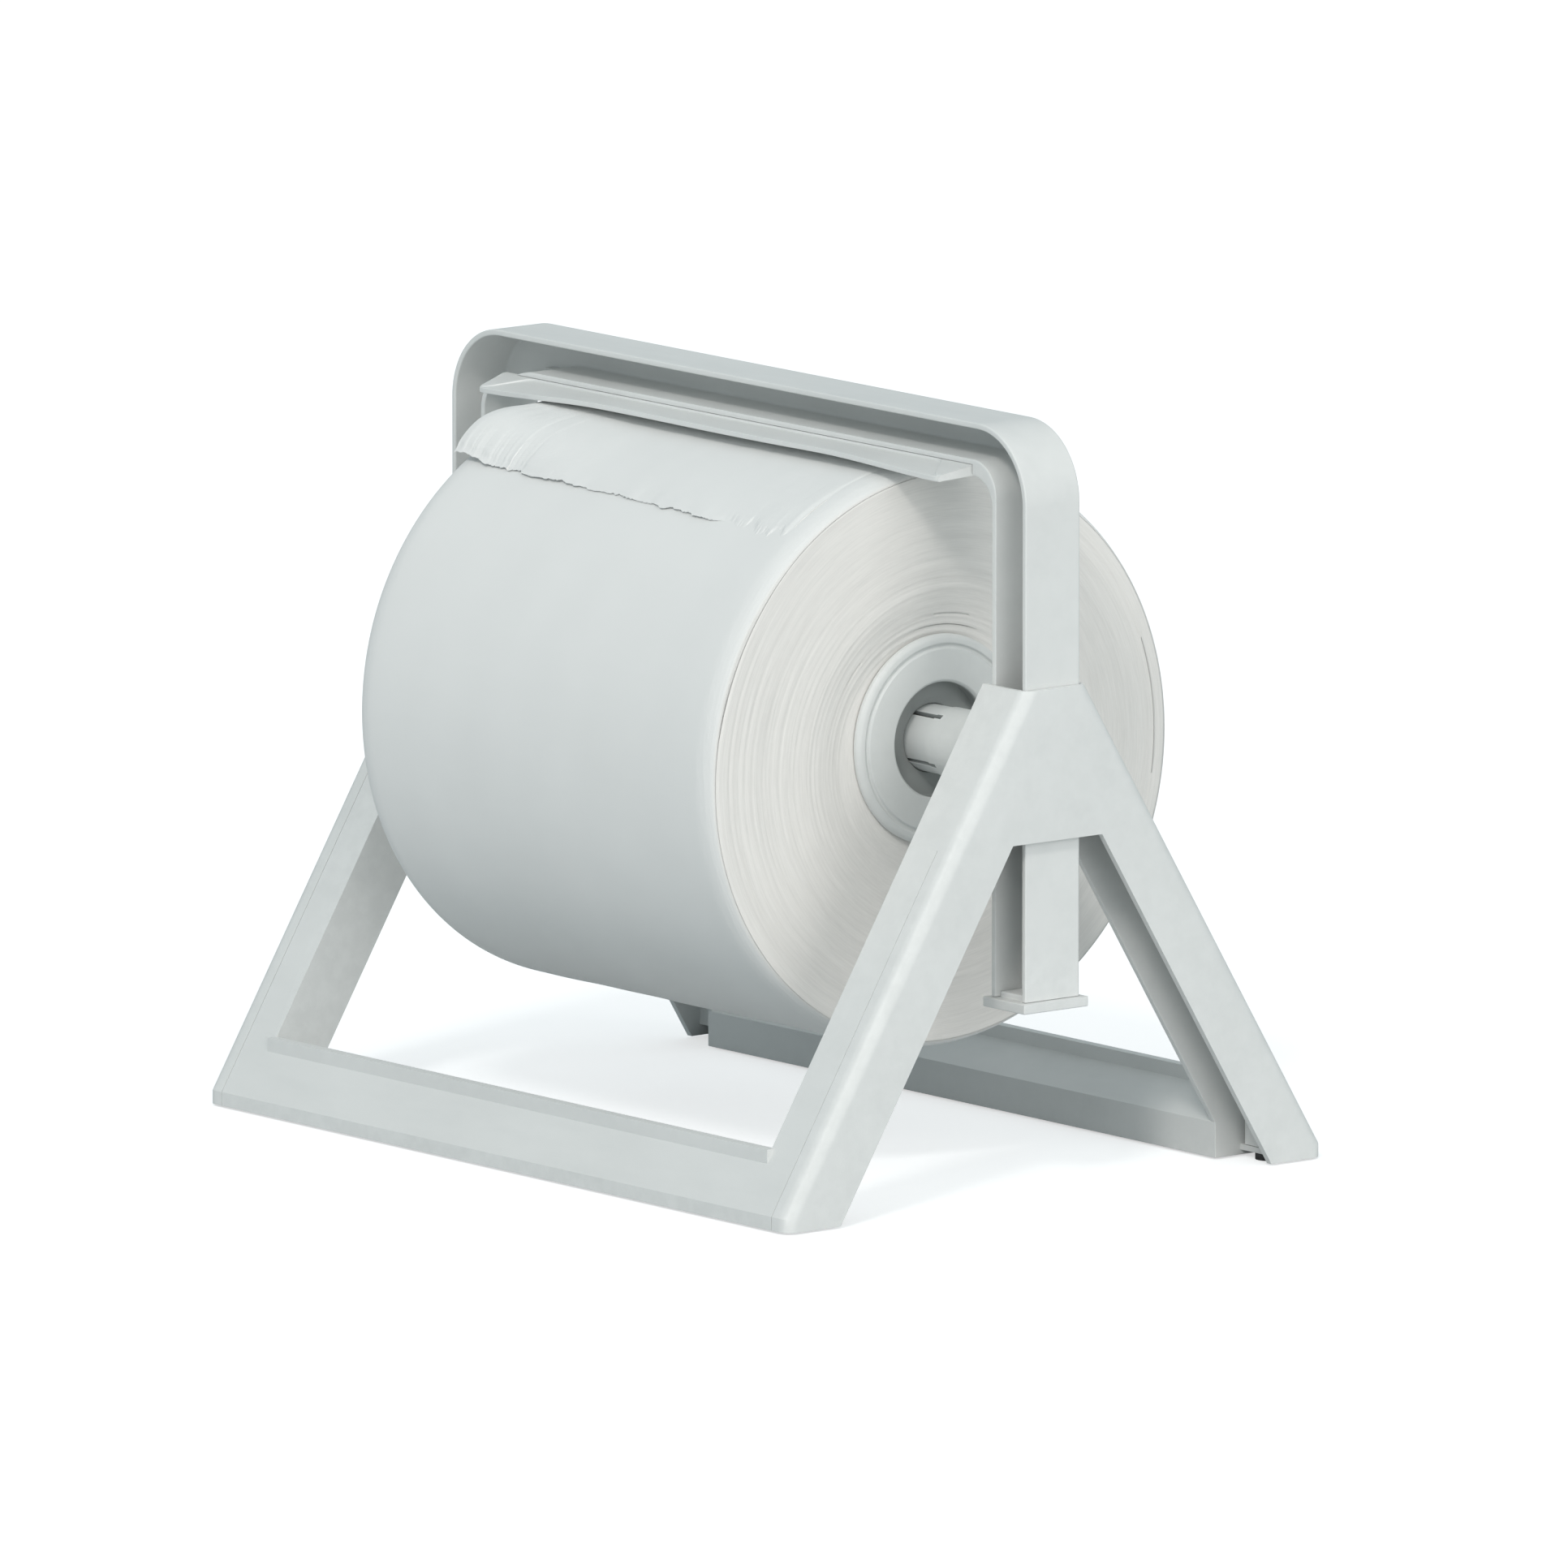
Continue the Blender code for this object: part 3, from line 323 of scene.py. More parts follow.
# Mesh helpers
WELD = 0.02 * MM
CUT_WELD = 0.003 * MM
FLAT_ANGLE = 0.4
EDGE_ANGLE = 30.0
EDGE_SEGMENTS = 2
LONGEST_ROUND_SHARE = 0.48
CUT_OVERRUN = 1.0 * MM
DRILL_SIDES = 24


def new_object(name, bm):
    """An object in the scene made from a bmesh, which is used up."""
    mesh = bpy.data.meshes.new(name)
    bm.to_mesh(mesh)
    bm.free()
    made = bpy.data.objects.new(name, mesh)
    bpy.context.scene.collection.objects.link(made)
    return made


def show(name, bm, finish, body, nodes, crease=35.0, firm=False):
    """Turns a bmesh into a piece that rides on a body and stands for CAD nodes.

    A firm piece keeps its broad faces flat right up to their rounded edges.
    """
    bmesh.ops.recalc_face_normals(bm, faces=bm.faces)
    piece = new_object(name, bm)
    piece.data.shade_smooth()
    piece.data.set_sharp_from_angle(angle=math.radians(crease))
    piece.data.materials.append(finish)
    if firm:
        flat = piece.modifiers.new("flat_faces", "WEIGHTED_NORMAL")
        flat.keep_sharp = True
    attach(piece, body)
    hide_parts(*nodes)
    return piece


def node_bmesh(node):
    """The CAD node's own shape as clean flat faces."""
    bm = bmesh.new()
    bm.from_mesh(NODES[node].data)
    bmesh.ops.remove_doubles(bm, verts=bm.verts, dist=WELD)
    bmesh.ops.dissolve_limit(bm, angle_limit=math.radians(FLAT_ANGLE), verts=bm.verts, edges=bm.edges)
    return bm


def soften(bm, width, spared=None):
    """Rounds every clear edge that isn't spared."""
    least = math.radians(EDGE_ANGLE)
    edges = [e for e in bm.edges if len(e.link_faces) == 2 and e.calc_face_angle(0) > least]
    if spared:
        edges = [e for e in edges if not spared(e)]
    bmesh.ops.bevel(bm, geom=edges, offset=width, offset_type="OFFSET", segments=EDGE_SEGMENTS, profile=0.5,
                    affect="EDGES", clamp_overlap=True, miter_outer="ARC", loop_slide=True)
    bmesh.ops.triangulate(bm, faces=[f for f in bm.faces if len(f.verts) > 4])


def join_lines(bm, first, second, closed):
    """Faces between two lines of as many vertices each."""
    count = len(first)
    for k in range(count if closed else count - 1):
        n = (k + 1) % count
        bm.faces.new((first[k], first[n], second[n], second[k]))


def turned(profile, sides, side=1, wobble=None):
    """Spins a profile of (along, radius) points about X; an optional wobble moves each ring's points."""
    bm = bmesh.new()
    rings = []
    for along, radius in profile:
        ring = []
        for k in range(sides):
            angle = 2 * math.pi * k / sides
            dx, dr = wobble(along, radius, angle) if wobble else (0.0, 0.0)
            y, z = (radius + dr) * math.cos(angle), (radius + dr) * math.sin(angle)
            ring.append(bm.verts.new((side * (along + dx), y, z)))
        rings.append(ring)
    for first, second in zip(rings, rings[1:] + rings[:1]):
        join_lines(bm, first, second, closed=True)
    return bm


def lifted(bm, z):
    bmesh.ops.translate(bm, verts=bm.verts, vec=(0, 0, z))
    return bm


def rounded(corners, steps=3):
    """Rounds the corners of a closed 2D path, given as (across, up, radius of the round)."""
    made = []
    for n, (across, up, radius) in enumerate(corners):
        if radius == 0:
            made.append((across, up))
            continue
        p = Vector((across, up))
        before = Vector(corners[n - 1][:2]) - p
        after = Vector(corners[(n + 1) % len(corners)][:2]) - p
        reach = min(radius, before.length * LONGEST_ROUND_SHARE, after.length * LONGEST_ROUND_SHARE)
        start = p + before.normalized() * reach
        end = p + after.normalized() * reach
        for k in range(steps + 1):
            t = k / steps
            q = start * (1 - t) ** 2 + p * 2 * t * (1 - t) + end * t ** 2
            made.append((q.x, q.y))
    return made


def ramp(value, start, end):
    """Straight rise from 0 at the start to 1 at the end."""
    return max(0.0, min(1.0, (value - start) / (end - start)))


def ease(value, start, end):
    """Smooth step from 0 at the start to 1 at the end."""
    t = ramp(value, start, end)
    return t * t * (3 - 2 * t)


def block(low, high):
    bm = bmesh.new()
    bmesh.ops.create_cube(bm, size=1)
    low, high = Vector(low), Vector(high)
    bmesh.ops.scale(bm, verts=bm.verts, vec=high - low)
    bmesh.ops.translate(bm, verts=bm.verts, vec=(low + high) / 2)
    return bm


def drill(radius, start, end, spot, axis):
    """A round cutter from a start to an end along an axis through a spot."""
    bm = bmesh.new()
    bmesh.ops.create_cone(bm, cap_ends=True, segments=DRILL_SIDES, radius1=radius, radius2=radius,
                          depth=abs(end - start))
    turn = axis.to_track_quat("Z", "Y").to_matrix().to_4x4()
    bmesh.ops.transform(bm, matrix=turn, verts=bm.verts)
    bmesh.ops.translate(bm, verts=bm.verts, vec=Vector(spot) + axis * (start + end) / 2)
    return bm


def cutting_object(name, bm):
    bmesh.ops.recalc_face_normals(bm, faces=bm.faces)
    return new_object(name, bm)


def carved(bm, cutters):
    """Cuts closed shapes out of a closed shape and gives back the result."""
    target = cutting_object("carve_target", bm)
    tools = [cutting_object(f"carve_tool_{n}", cutter) for n, cutter in enumerate(cutters)]
    for tool in tools:
        step = target.modifiers.new(tool.name, "BOOLEAN")
        step.operation = "DIFFERENCE"
        step.solver = "EXACT"
        step.object = tool
    bpy.context.view_layer.update()
    result = target.evaluated_get(bpy.context.evaluated_depsgraph_get())
    made = bmesh.new()
    made.from_mesh(result.to_mesh())
    result.to_mesh_clear()
    for item in [target] + tools:
        mesh = item.data
        bpy.data.objects.remove(item, do_unlink=True)
        bpy.data.meshes.remove(mesh)
    bmesh.ops.remove_doubles(made, verts=made.verts, dist=CUT_WELD)
    return made


# Stand: four mouldings with softened edges, joined closely where a leg passes under the peak
STAND_EDGE = 0.7 * MM
PEAK_FOOT_Z = 178.0 * MM
PEAK_INNER_X = 220.1 * MM
PEAK_INNER_Y = 60.0 * MM
JOINT_HEIGHT = 0.06 * MM
LEG_LEAN = 0.5835
LEG_GAP = 0.28 * MM
LEG_TOP_BAND = (PEAK_FOOT_Z - 0.5 * MM, PEAK_FOOT_Z - 0.1 * MM)


def at_joint(edge):
    """Whether an edge lies in the joint between a leg and the peak above it."""
    places = [v.co for v in edge.verts]
    level = all(abs(p.z - PEAK_FOOT_Z) < JOINT_HEIGHT for p in places)
    return level and all(abs(p.x) < PEAK_INNER_X and abs(p.y) > PEAK_INNER_Y for p in places)


def stand_moulding(node, source):
    """Shows a moulding of the stand; one with another source is that source's mirror image."""
    bm = node_bmesh(source)
    for v in bm.verts:
        if LEG_TOP_BAND[0] < v.co.z < LEG_TOP_BAND[1]:
            v.co.z += LEG_GAP
            v.co.y -= math.copysign(LEG_GAP * LEG_LEAN, v.co.y)
    soften(bm, STAND_EDGE, at_joint)
    if node != source:
        bmesh.ops.scale(bm, verts=bm.verts, vec=(-1, 1, 1))
    show(f"{node}_moulding", bm, STAND_PLASTIC, "stand", [node], firm=True)


stand_moulding("left_side_frame", "left_side_frame")
stand_moulding("right_side_frame", "left_side_frame")
stand_moulding("front_frame", "front_frame")
stand_moulding("rear_frame", "rear_frame")


# Hoop: a channel swept round the inverted U, with its openings carved
HOOP_BAND = 26.5 * MM
HOOP_WALL = 3.0 * MM
HOOP_INNER = HOOP_HALF_WIDTH - HOOP_BAND
HOOP_WEB = HOOP_HALF_DEPTH - HOOP_WALL
HOOP_OUTER_RADIUS = 38.0 * MM
HOOP_INNER_RADIUS = 15.0 * MM
OUTER_MOUTH_ROUND = 0.9 * MM
INNER_MOUTH_ROUND = 0.7 * MM
WEB_ROUND = 1.6 * MM
INNER_BACK_ROUND = 1.2 * MM
SECTION_STEPS = 4
FLOOR_RISE = 5.2 * MM
FLOOR_RISE_ENDS = (163.0 * MM, 189.0 * MM)
SHELF_TOP = HOOP_TOP - HOOP_BAND + HOOP_WALL
SEAT_HALF = 186.6 * MM
SEAT_TOP = SHELF_TOP + 2.7 * MM
LEG_STEPS = 10
BEND_STEPS = 22
TOP_STEPS = 60
SHELF_SCREW_HOLE = 1.7 * MM
SHELF_SCREW_SPACING = 125.0 * MM
SHELF_SCREW_Z = (HOOP_TOP - HOOP_BAND + SEAT_TOP) / 2
SPINDLE_SCREW_HOLE = 2.8 * MM


def hoop_line(half, top, radius):
    """One line round the inverted U as (x, z), with the same number of points for every size."""
    bend = top - radius
    made = [(half, HOOP_BOTTOM + (bend - HOOP_BOTTOM) * k / LEG_STEPS) for k in range(LEG_STEPS)]
    for k in range(BEND_STEPS + 1):
        angle = math.pi / 2 * k / BEND_STEPS
        made.append((half - radius + radius * math.cos(angle), bend + radius * math.sin(angle)))
    made += [((half - radius) * (1 - k / TOP_STEPS), top) for k in range(1, TOP_STEPS + 1)]
    return made + [(-x, z) for x, z in made[-2::-1]]


def hoop_section():
    """Section of the channel as (inset from the outer face, y)."""
    inner_wall = HOOP_BAND - HOOP_WALL
    return rounded([
        (0, -HOOP_HALF_DEPTH, OUTER_MOUTH_ROUND), (0, HOOP_HALF_DEPTH, WEB_ROUND),
        (HOOP_BAND, HOOP_HALF_DEPTH, INNER_BACK_ROUND), (HOOP_BAND, -HOOP_HALF_DEPTH, INNER_MOUTH_ROUND),
        (inner_wall, -HOOP_HALF_DEPTH, INNER_MOUTH_ROUND), (inner_wall, HOOP_WEB, WEB_ROUND),
        (HOOP_WALL, HOOP_WEB, WEB_ROUND), (HOOP_WALL, -HOOP_HALF_DEPTH, OUTER_MOUTH_ROUND),
    ], SECTION_STEPS)


def hoop_channel():
    """The channel, whose floor is raised over the shelf and falls away at the left end."""
    bm = bmesh.new()
    lines = []
    for inset, y in hoop_section():
        if inset < HOOP_BAND / 2:
            line = hoop_line(HOOP_HALF_WIDTH - inset, HOOP_TOP - inset, HOOP_OUTER_RADIUS - inset)
        else:
            grow = HOOP_BAND - inset
            rise = FLOOR_RISE * min(1.0, grow / HOOP_WALL)
            line = hoop_line(HOOP_INNER + grow, HOOP_TOP - HOOP_BAND + grow + rise, HOOP_INNER_RADIUS + grow)
            line = [(x, z - rise * ease(-x, *FLOOR_RISE_ENDS)) for x, z in line]
        lines.append([bm.verts.new((x, y, z)) for x, z in line])
    for first, second in zip(lines, lines[1:] + lines[:1]):
        join_lines(bm, first, second, closed=False)
    for k in (0, -1):
        bm.faces.new([line[k] for line in lines])
    return bm


def shelf_screw_drills(start, end):
    """Cutters for the shelf's three screw holes, from a start to an end along Y."""
    return [drill(SHELF_SCREW_HOLE, start, end, (k * SHELF_SCREW_SPACING, 0, SHELF_SCREW_Z), AXIS_Y)
            for k in (-1, 0, 1)]


def hoop_cutters():
    """The shelf's seat and the screw holes of the shelf and the spindles."""
    seat_low = (-SEAT_HALF, -HOOP_HALF_DEPTH - CUT_OVERRUN, HOOP_TOP - HOOP_BAND - CUT_OVERRUN)
    made = [block(seat_low, (SEAT_HALF, HOOP_WEB, SEAT_TOP))]
    made += shelf_screw_drills(HOOP_WEB - CUT_OVERRUN, HOOP_HALF_DEPTH + CUT_OVERRUN)
    for side, _ in SIDES:
        start, end = HOOP_INNER - CUT_OVERRUN, HOOP_INNER + HOOP_WALL + CUT_OVERRUN
        made.append(drill(SPINDLE_SCREW_HOLE, side * start, side * end, (0, 0, SPINDLE_Z), AXIS_X))
    return made


show("hoop_frame_moulding", carved(hoop_channel(), hoop_cutters()), HOOP_PLASTIC, "hoop", ["hoop_frame"],
     firm=True)


# Tear shelf: a blade with a low lip behind that turns forward to the tips at both ends
SHELF_THICK = 3.0 * MM
SHELF_SEAT_CLEARANCE = 0.3 * MM
SHELF_RIB_THICK = 5.0 * MM
SHELF_LIP_THICK = 3.0 * MM
SHELF_TIP_HALF = 182.0 * MM
SHELF_ROUND = 0.3 * MM
CREST_ROUND = 0.25 * MM
STEP_ROUND = 0.2 * MM
EDGE_TOP_ROUND = 0.35 * MM
EDGE_LOW_ROUND = 0.6 * MM
LIP_TURN_START = 160.0 * MM
BLADE_TOP = SHELF_TOP + 1.4 * MM
BLADE_EDGE_TOP = SHELF_TOP + 0.7 * MM
BLADE_EDGE_THICK = 2.65 * MM
BLADE_DROOP = 2.9 * MM
BLADE_DROOP_ENDS = (85.0 * MM, 183.0 * MM)
BLADE_WAVE = 0.25 * MM
BLADE_WAVE_TURN = 31.0
BLADE_WAVE_START = 0.7
TIP_CUT = 1.0 * MM
TIP_CUT_START = SHELF_TIP_HALF - 2.0 * MM
CREST_BEHIND_EDGE = 1.2 * MM
CREST_OVER_EDGE = 0.6 * MM
CREST_STEP = 0.5 * MM
SHELF_STATIONS = 80
TIP_STATIONS = (1.5 * MM, 0.6 * MM, 0.0)
NUDGE = 0.01 * MM
SHELF_SCREW_DEPTH = 3.6 * MM


def shelf_section(x):
    """Section of the shelf at a place along it as (y, z), from the back round the lip to the blade."""
    low = SHELF_TOP - SHELF_THICK
    high = SEAT_TOP - SHELF_SEAT_CLEARANCE
    rib = SHELF_BACK - SHELF_RIB_THICK
    mouth = -HOOP_HALF_DEPTH
    lip_back = mouth + SHELF_LIP_THICK
    turned_in = ease(abs(x), LIP_TURN_START, SHELF_TIP_HALF)
    front = SHELF_FRONT + TIP_CUT * ease(abs(x), TIP_CUT_START, SHELF_TIP_HALF)
    edge = front - 5 * NUDGE
    droop = BLADE_DROOP * ease(abs(x), *BLADE_DROOP_ENDS)
    droop += BLADE_WAVE * math.sin(x * BLADE_WAVE_TURN + BLADE_WAVE_START)
    edge_top = BLADE_EDGE_TOP - droop
    crest_y = mouth + (front + CREST_BEHIND_EDGE - mouth) * turned_in
    crest_z = high + (edge_top + CREST_OVER_EDGE - high) * turned_in
    step_z = BLADE_TOP + (edge_top - BLADE_TOP) * turned_in
    return rounded([
        (SHELF_BACK, low, SHELF_ROUND), (SHELF_BACK, high, SHELF_ROUND), (rib, high, SHELF_ROUND),
        (rib, SHELF_TOP, SHELF_ROUND), (lip_back, SHELF_TOP, SHELF_ROUND), (lip_back, high, SHELF_ROUND),
        (mouth - NUDGE, high, 0.0), (crest_y - 2 * NUDGE, crest_z, CREST_ROUND),
        (crest_y - CREST_STEP - 3 * NUDGE, step_z, STEP_ROUND), (edge, edge_top, EDGE_TOP_ROUND),
        (edge, edge_top - BLADE_EDGE_THICK, EDGE_LOW_ROUND), (mouth, low, 0.0),
    ])


def tear_shelf():
    """Sections joined along the shelf, with slanted ends that reach out to the body's full length."""
    half = [SHELF_TIP_HALF * k / SHELF_STATIONS for k in range(SHELF_STATIONS - 1)]
    half += [SHELF_TIP_HALF - short for short in TIP_STATIONS]
    bm = bmesh.new()
    rings = []
    for x in [-x for x in half[:0:-1]] + half:
        rings.append([bm.verts.new((x, y, z)) for y, z in shelf_section(x)])
    end_rings = []
    for ring in (rings[0], rings[-1]):
        slanted = [bm.verts.new(v.co) for v in ring]
        for v in slanted:
            back = ramp(v.co.y, SHELF_FRONT, -HOOP_HALF_DEPTH)
            out = (SHELF_BODY_HALF - SHELF_TIP_HALF) * back + 5 * NUDGE
            v.co.x += math.copysign(out, v.co.x)
        end_rings.append(slanted)
    rings = [end_rings[0]] + rings + [end_rings[1]]
    for first, second in zip(rings, rings[1:]):
        join_lines(bm, first, second, closed=True)
    for ring in end_rings:
        bm.faces.new(ring)
    return bm


shelf_drills = shelf_screw_drills(SHELF_BACK - SHELF_SCREW_DEPTH, SHELF_BACK + CUT_OVERRUN)
show("tear_shelf_moulding", carved(tear_shelf(), shelf_drills), HOOP_PLASTIC, "hoop", ["tear_shelf"],
     firm=True)


# Caps at the ends of the hoop's legs, and split spindles
CAP_EDGE = 0.6 * MM
CAP_PLUG = 2.5 * MM
CAP_LIP = 2.0 * MM
SPINDLE_EDGE = 0.35 * MM


def leg_cap(hand):
    """A cap whose plug reaches only a little way into the leg."""
    bm = node_bmesh(f"{hand}_leg_cap")
    for v in bm.verts:
        if v.co.z > HOOP_BOTTOM + CAP_LIP:
            v.co.z = HOOP_BOTTOM + CAP_PLUG
    soften(bm, CAP_EDGE)
    show(f"{hand}_leg_cap_moulding", bm, HOOP_PLASTIC, "hoop", [f"{hand}_leg_cap"],
         firm=True)


def spindle(hand):
    bm = node_bmesh(f"{hand}_spindle")
    soften(bm, SPINDLE_EDGE)
    show(f"{hand}_spindle_moulding", bm, SPINDLE_PLASTIC, "hoop", [f"{hand}_spindle"],
         firm=True)


for _, hand in SIDES:
    leg_cap(hand)
    spindle(hand)


# Hubs: finer turned forms of the CAD hubs
HUB_SIDES = 160
HUB_BORE = 17.1 * MM
HUB_RECESS_DEPTH = 8.5 * MM
HUB_WEB = 3.0 * MM
HUB_LIP_RADIUS = 30.0 * MM
HUB_LIP_DEPTH = 1.2 * MM
HUB_FLANGE = 4.0 * MM
HUB_SLEEVE_OUTER = 31.7 * MM
HUB_SLEEVE_INNER = 29.2 * MM
HUB_BEAD_DEPTH = 0.1 * MM
HUB_BORE_ROUND = 0.6 * MM
HUB_FINE_ROUND = 0.3 * MM
HUB_FACE_ROUND = 0.4 * MM
HUB_CORNER_ROUND = 0.8 * MM
# The flange's rounded rim as (depth behind the face, distance in from the rim, radius of the round)
HUB_RIM = ((0.5 * MM, 1.6 * MM, 1.0 * MM), (2.2 * MM, 0.0, 1.4 * MM))
GROOVE_ROUND = 0.5 * MM
GROOVE_DEPTH = 1.3 * MM
# Distances in from the rim to the groove's edges and floor
GROOVE_PLACES = (7.2 * MM, 6.4 * MM, 5.2 * MM, 4.4 * MM)


def hub_profile():
    """Section of the right hub as (x, radius), from the web's bore round the face to the sleeve."""
    face, rim = HUB_FACE, HUB_RADIUS
    web_outer = face - HUB_RECESS_DEPTH
    web_inner = web_outer - HUB_WEB
    flange_back = face - HUB_FLANGE
    groove = [rim - inward for inward in GROOVE_PLACES]
    rim_corners = [(face - depth, rim - inward, radius) for depth, inward, radius in HUB_RIM]
    return rounded([
        (web_inner, HUB_BORE, HUB_FINE_ROUND), (web_outer, HUB_BORE, HUB_BORE_ROUND),
        (web_outer, RECESS_RADIUS, HUB_CORNER_ROUND), (face - HUB_LIP_DEPTH, RECESS_RADIUS, HUB_FINE_ROUND),
        (face, HUB_LIP_RADIUS, GROOVE_ROUND), (face, groove[0], HUB_FACE_ROUND),
        (face - GROOVE_DEPTH, groove[1], GROOVE_ROUND), (face - GROOVE_DEPTH, groove[2], GROOVE_ROUND),
        (face - HUB_BEAD_DEPTH, groove[3], GROOVE_ROUND), *rim_corners,
        (flange_back, rim, HUB_FINE_ROUND), (flange_back, HUB_SLEEVE_OUTER, HUB_CORNER_ROUND),
        (HUB_SLEEVE_END, HUB_SLEEVE_OUTER, HUB_CORNER_ROUND),
        (HUB_SLEEVE_END, HUB_SLEEVE_INNER, HUB_FACE_ROUND), (web_inner, HUB_SLEEVE_INNER, HUB_CORNER_ROUND),
    ])


for side, hand in SIDES:
    hub = lifted(turned(hub_profile(), HUB_SIDES, side), SPINDLE_Z)
    show(f"{hand}_hub_turning", hub, HUB_PLASTIC, f"{hand}_hub", [f"{hand}_hub"])


# Paper roll: wound layers that stand a little uneven at both cut ends
RNG = np.random.default_rng(seed=7)
WINDING_SIDES = 360
WINDING_WELD = 0.01 * MM
WINDING_HOLE = CORE_OUTER + 0.3 * MM
WINDING_END = ROLL_HALF - 0.25 * MM
SHOULDER_LENGTH = 14.0 * MM
SHOULDER_DEPTH = 5.5 * MM
SHOULDER_STEPS = 14
DISH_DEPTH = 5.0 * MM
DISH_RADIUS = 86.0 * MM
DISH_POWER = 1.3
SEAT_RADIUS = HUB_RADIUS + SPINDLE_Z - ROLL_Z
HOLE_STEPS = 12
FACE_STEPS = 40
RING_STEP = 0.9 * MM
RINGS = int((ROLL_RADIUS - CORE_OUTER) / RING_STEP) + 2
RIDGE_ROWS = RINGS + 8
RIDGES = {side: RNG.normal(0.0, 1.0, (RIDGE_ROWS, 9)) for side in (-1, 1)}
RIDGE_TURN = 3.1
RIDGE_SHARES = (0.55, 0.30, 0.12)
LAYER_OFFSET = 0.26 * MM
LAYER_OFFSET_BY_HUB_SHARE = 0.2
LAYER_MOST = 0.2 * MM
END_WARP = 0.5 * MM
END_WARP_START = 0.6
END_WARP_TURN = 38.0
# Where the uneven layers, their freedom from the hole and the face's waves grow from nothing to full
END_BAND = (ROLL_HALF - 12 * MM, ROLL_HALF - 6 * MM)
FREE_BAND = (WINDING_HOLE + 1 * MM, WINDING_HOLE + 5 * MM)
FACE_BAND = (ROLL_RADIUS - 6 * MM, ROLL_RADIUS)
FACE_SINK = 0.28 * MM
# Waves of the wound face as (height, turn per metre along X, turns round, start)
FACE_WAVES = ((0.10 * MM, 55.0, 0, 1.3), (0.08 * MM, 131.0, 2, 0.0), (0.09 * MM, 20.0, 3, 0.0))


def ridge(side, radius, angle):
    """How far a layer stands out of the cut end, before scaling."""
    place = (radius - CORE_OUTER) / RING_STEP
    row = RIDGES[side][int(max(0, min(place, RIDGE_ROWS - 2)))]
    swing = row[1] * math.cos(angle + row[2] * RIDGE_TURN)
    swing += row[3] * math.cos(2 * angle + row[4] * RIDGE_TURN)
    ripple = row[5] * math.cos(5 * angle + row[6] * RIDGE_TURN)
    return sum(share * part for share, part in zip(RIDGE_SHARES, (row[0], swing, ripple)))


def end_depth(radius):
    """How far the cut end is dished at a radius."""
    if radius < SEAT_RADIUS:
        return DISH_DEPTH
    if radius < DISH_RADIUS:
        share = (DISH_RADIUS - radius) / (DISH_RADIUS - SEAT_RADIUS)
        return DISH_DEPTH * share ** DISH_POWER
    return 0.0


def winding_profile():
    """Half of the roll's section from the core hole to the middle of the face, as (x, radius)."""
    rim = ROLL_RADIUS - SHOULDER_DEPTH
    points = [((ROLL_HALF - DISH_DEPTH) * k / HOLE_STEPS, WINDING_HOLE) for k in range(HOLE_STEPS)]
    steps = int((rim - WINDING_HOLE) / RING_STEP)
    for k in range(steps + 1):
        radius = WINDING_HOLE + (rim - WINDING_HOLE) * k / steps
        points.append((WINDING_END - end_depth(radius), radius))
    for k in range(1, SHOULDER_STEPS + 1):
        angle = math.pi / 2 * k / SHOULDER_STEPS
        along = WINDING_END - SHOULDER_LENGTH * (1 - math.cos(angle))
        points.append((along, rim + SHOULDER_DEPTH * math.sin(angle)))
    inset = points[-1][0]
    points += [(inset * (1 - k / FACE_STEPS), ROLL_RADIUS) for k in range(1, FACE_STEPS + 1)]
    return points


def winding_wobble(along, radius, angle):
    """Uneven layers on the cut ends and faint waves on the wound face, as (dx, dr)."""
    side = 1 if along >= 0 else -1
    free = ramp(radius, *FREE_BAND)
    clear_of_hub = LAYER_OFFSET_BY_HUB_SHARE if radius < SEAT_RADIUS else 1.0
    dx = ridge(side, radius, angle) * LAYER_OFFSET * free * clear_of_hub
    dx += END_WARP * math.sin(angle * 2 + END_WARP_START) * math.sin(radius * END_WARP_TURN) * free
    dx = (min(dx, LAYER_MOST) - LAYER_MOST) * ramp(abs(along), *END_BAND)
    waves = sum(height * math.sin(along * turn + round_turns * angle + start)
                for height, turn, round_turns, start in FACE_WAVES)
    return side * dx, (waves - FACE_SINK) * ramp(radius, *FACE_BAND)


half = winding_profile()
full = [(-x, r) for x, r in half[::-1]] + [(x, r) for x, r in half[1:-1]]
winding = lifted(turned(full, WINDING_SIDES, 1, winding_wobble), ROLL_Z)
bmesh.ops.remove_doubles(winding, verts=winding.verts, dist=WINDING_WELD)
show("paper_roll_winding", winding, PAPER, "roll", ["paper_roll"], crease=60.0)


# Core: board tube with rounded ends
CORE_WALL = 3.0 * MM
CORE_ROUND = 0.6 * MM
CORE_SIDES = 144


def core_section():
    inner = CORE_OUTER - CORE_WALL
    ends = [(-CORE_END, inner), (-CORE_END, CORE_OUTER), (CORE_END, CORE_OUTER), (CORE_END, inner)]
    return rounded([(x, radius, CORE_ROUND) for x, radius in ends])


show("roll_core_tube", lifted(turned(core_section(), CORE_SIDES), ROLL_Z), CORE_BOARD, "roll", ["roll_core"])


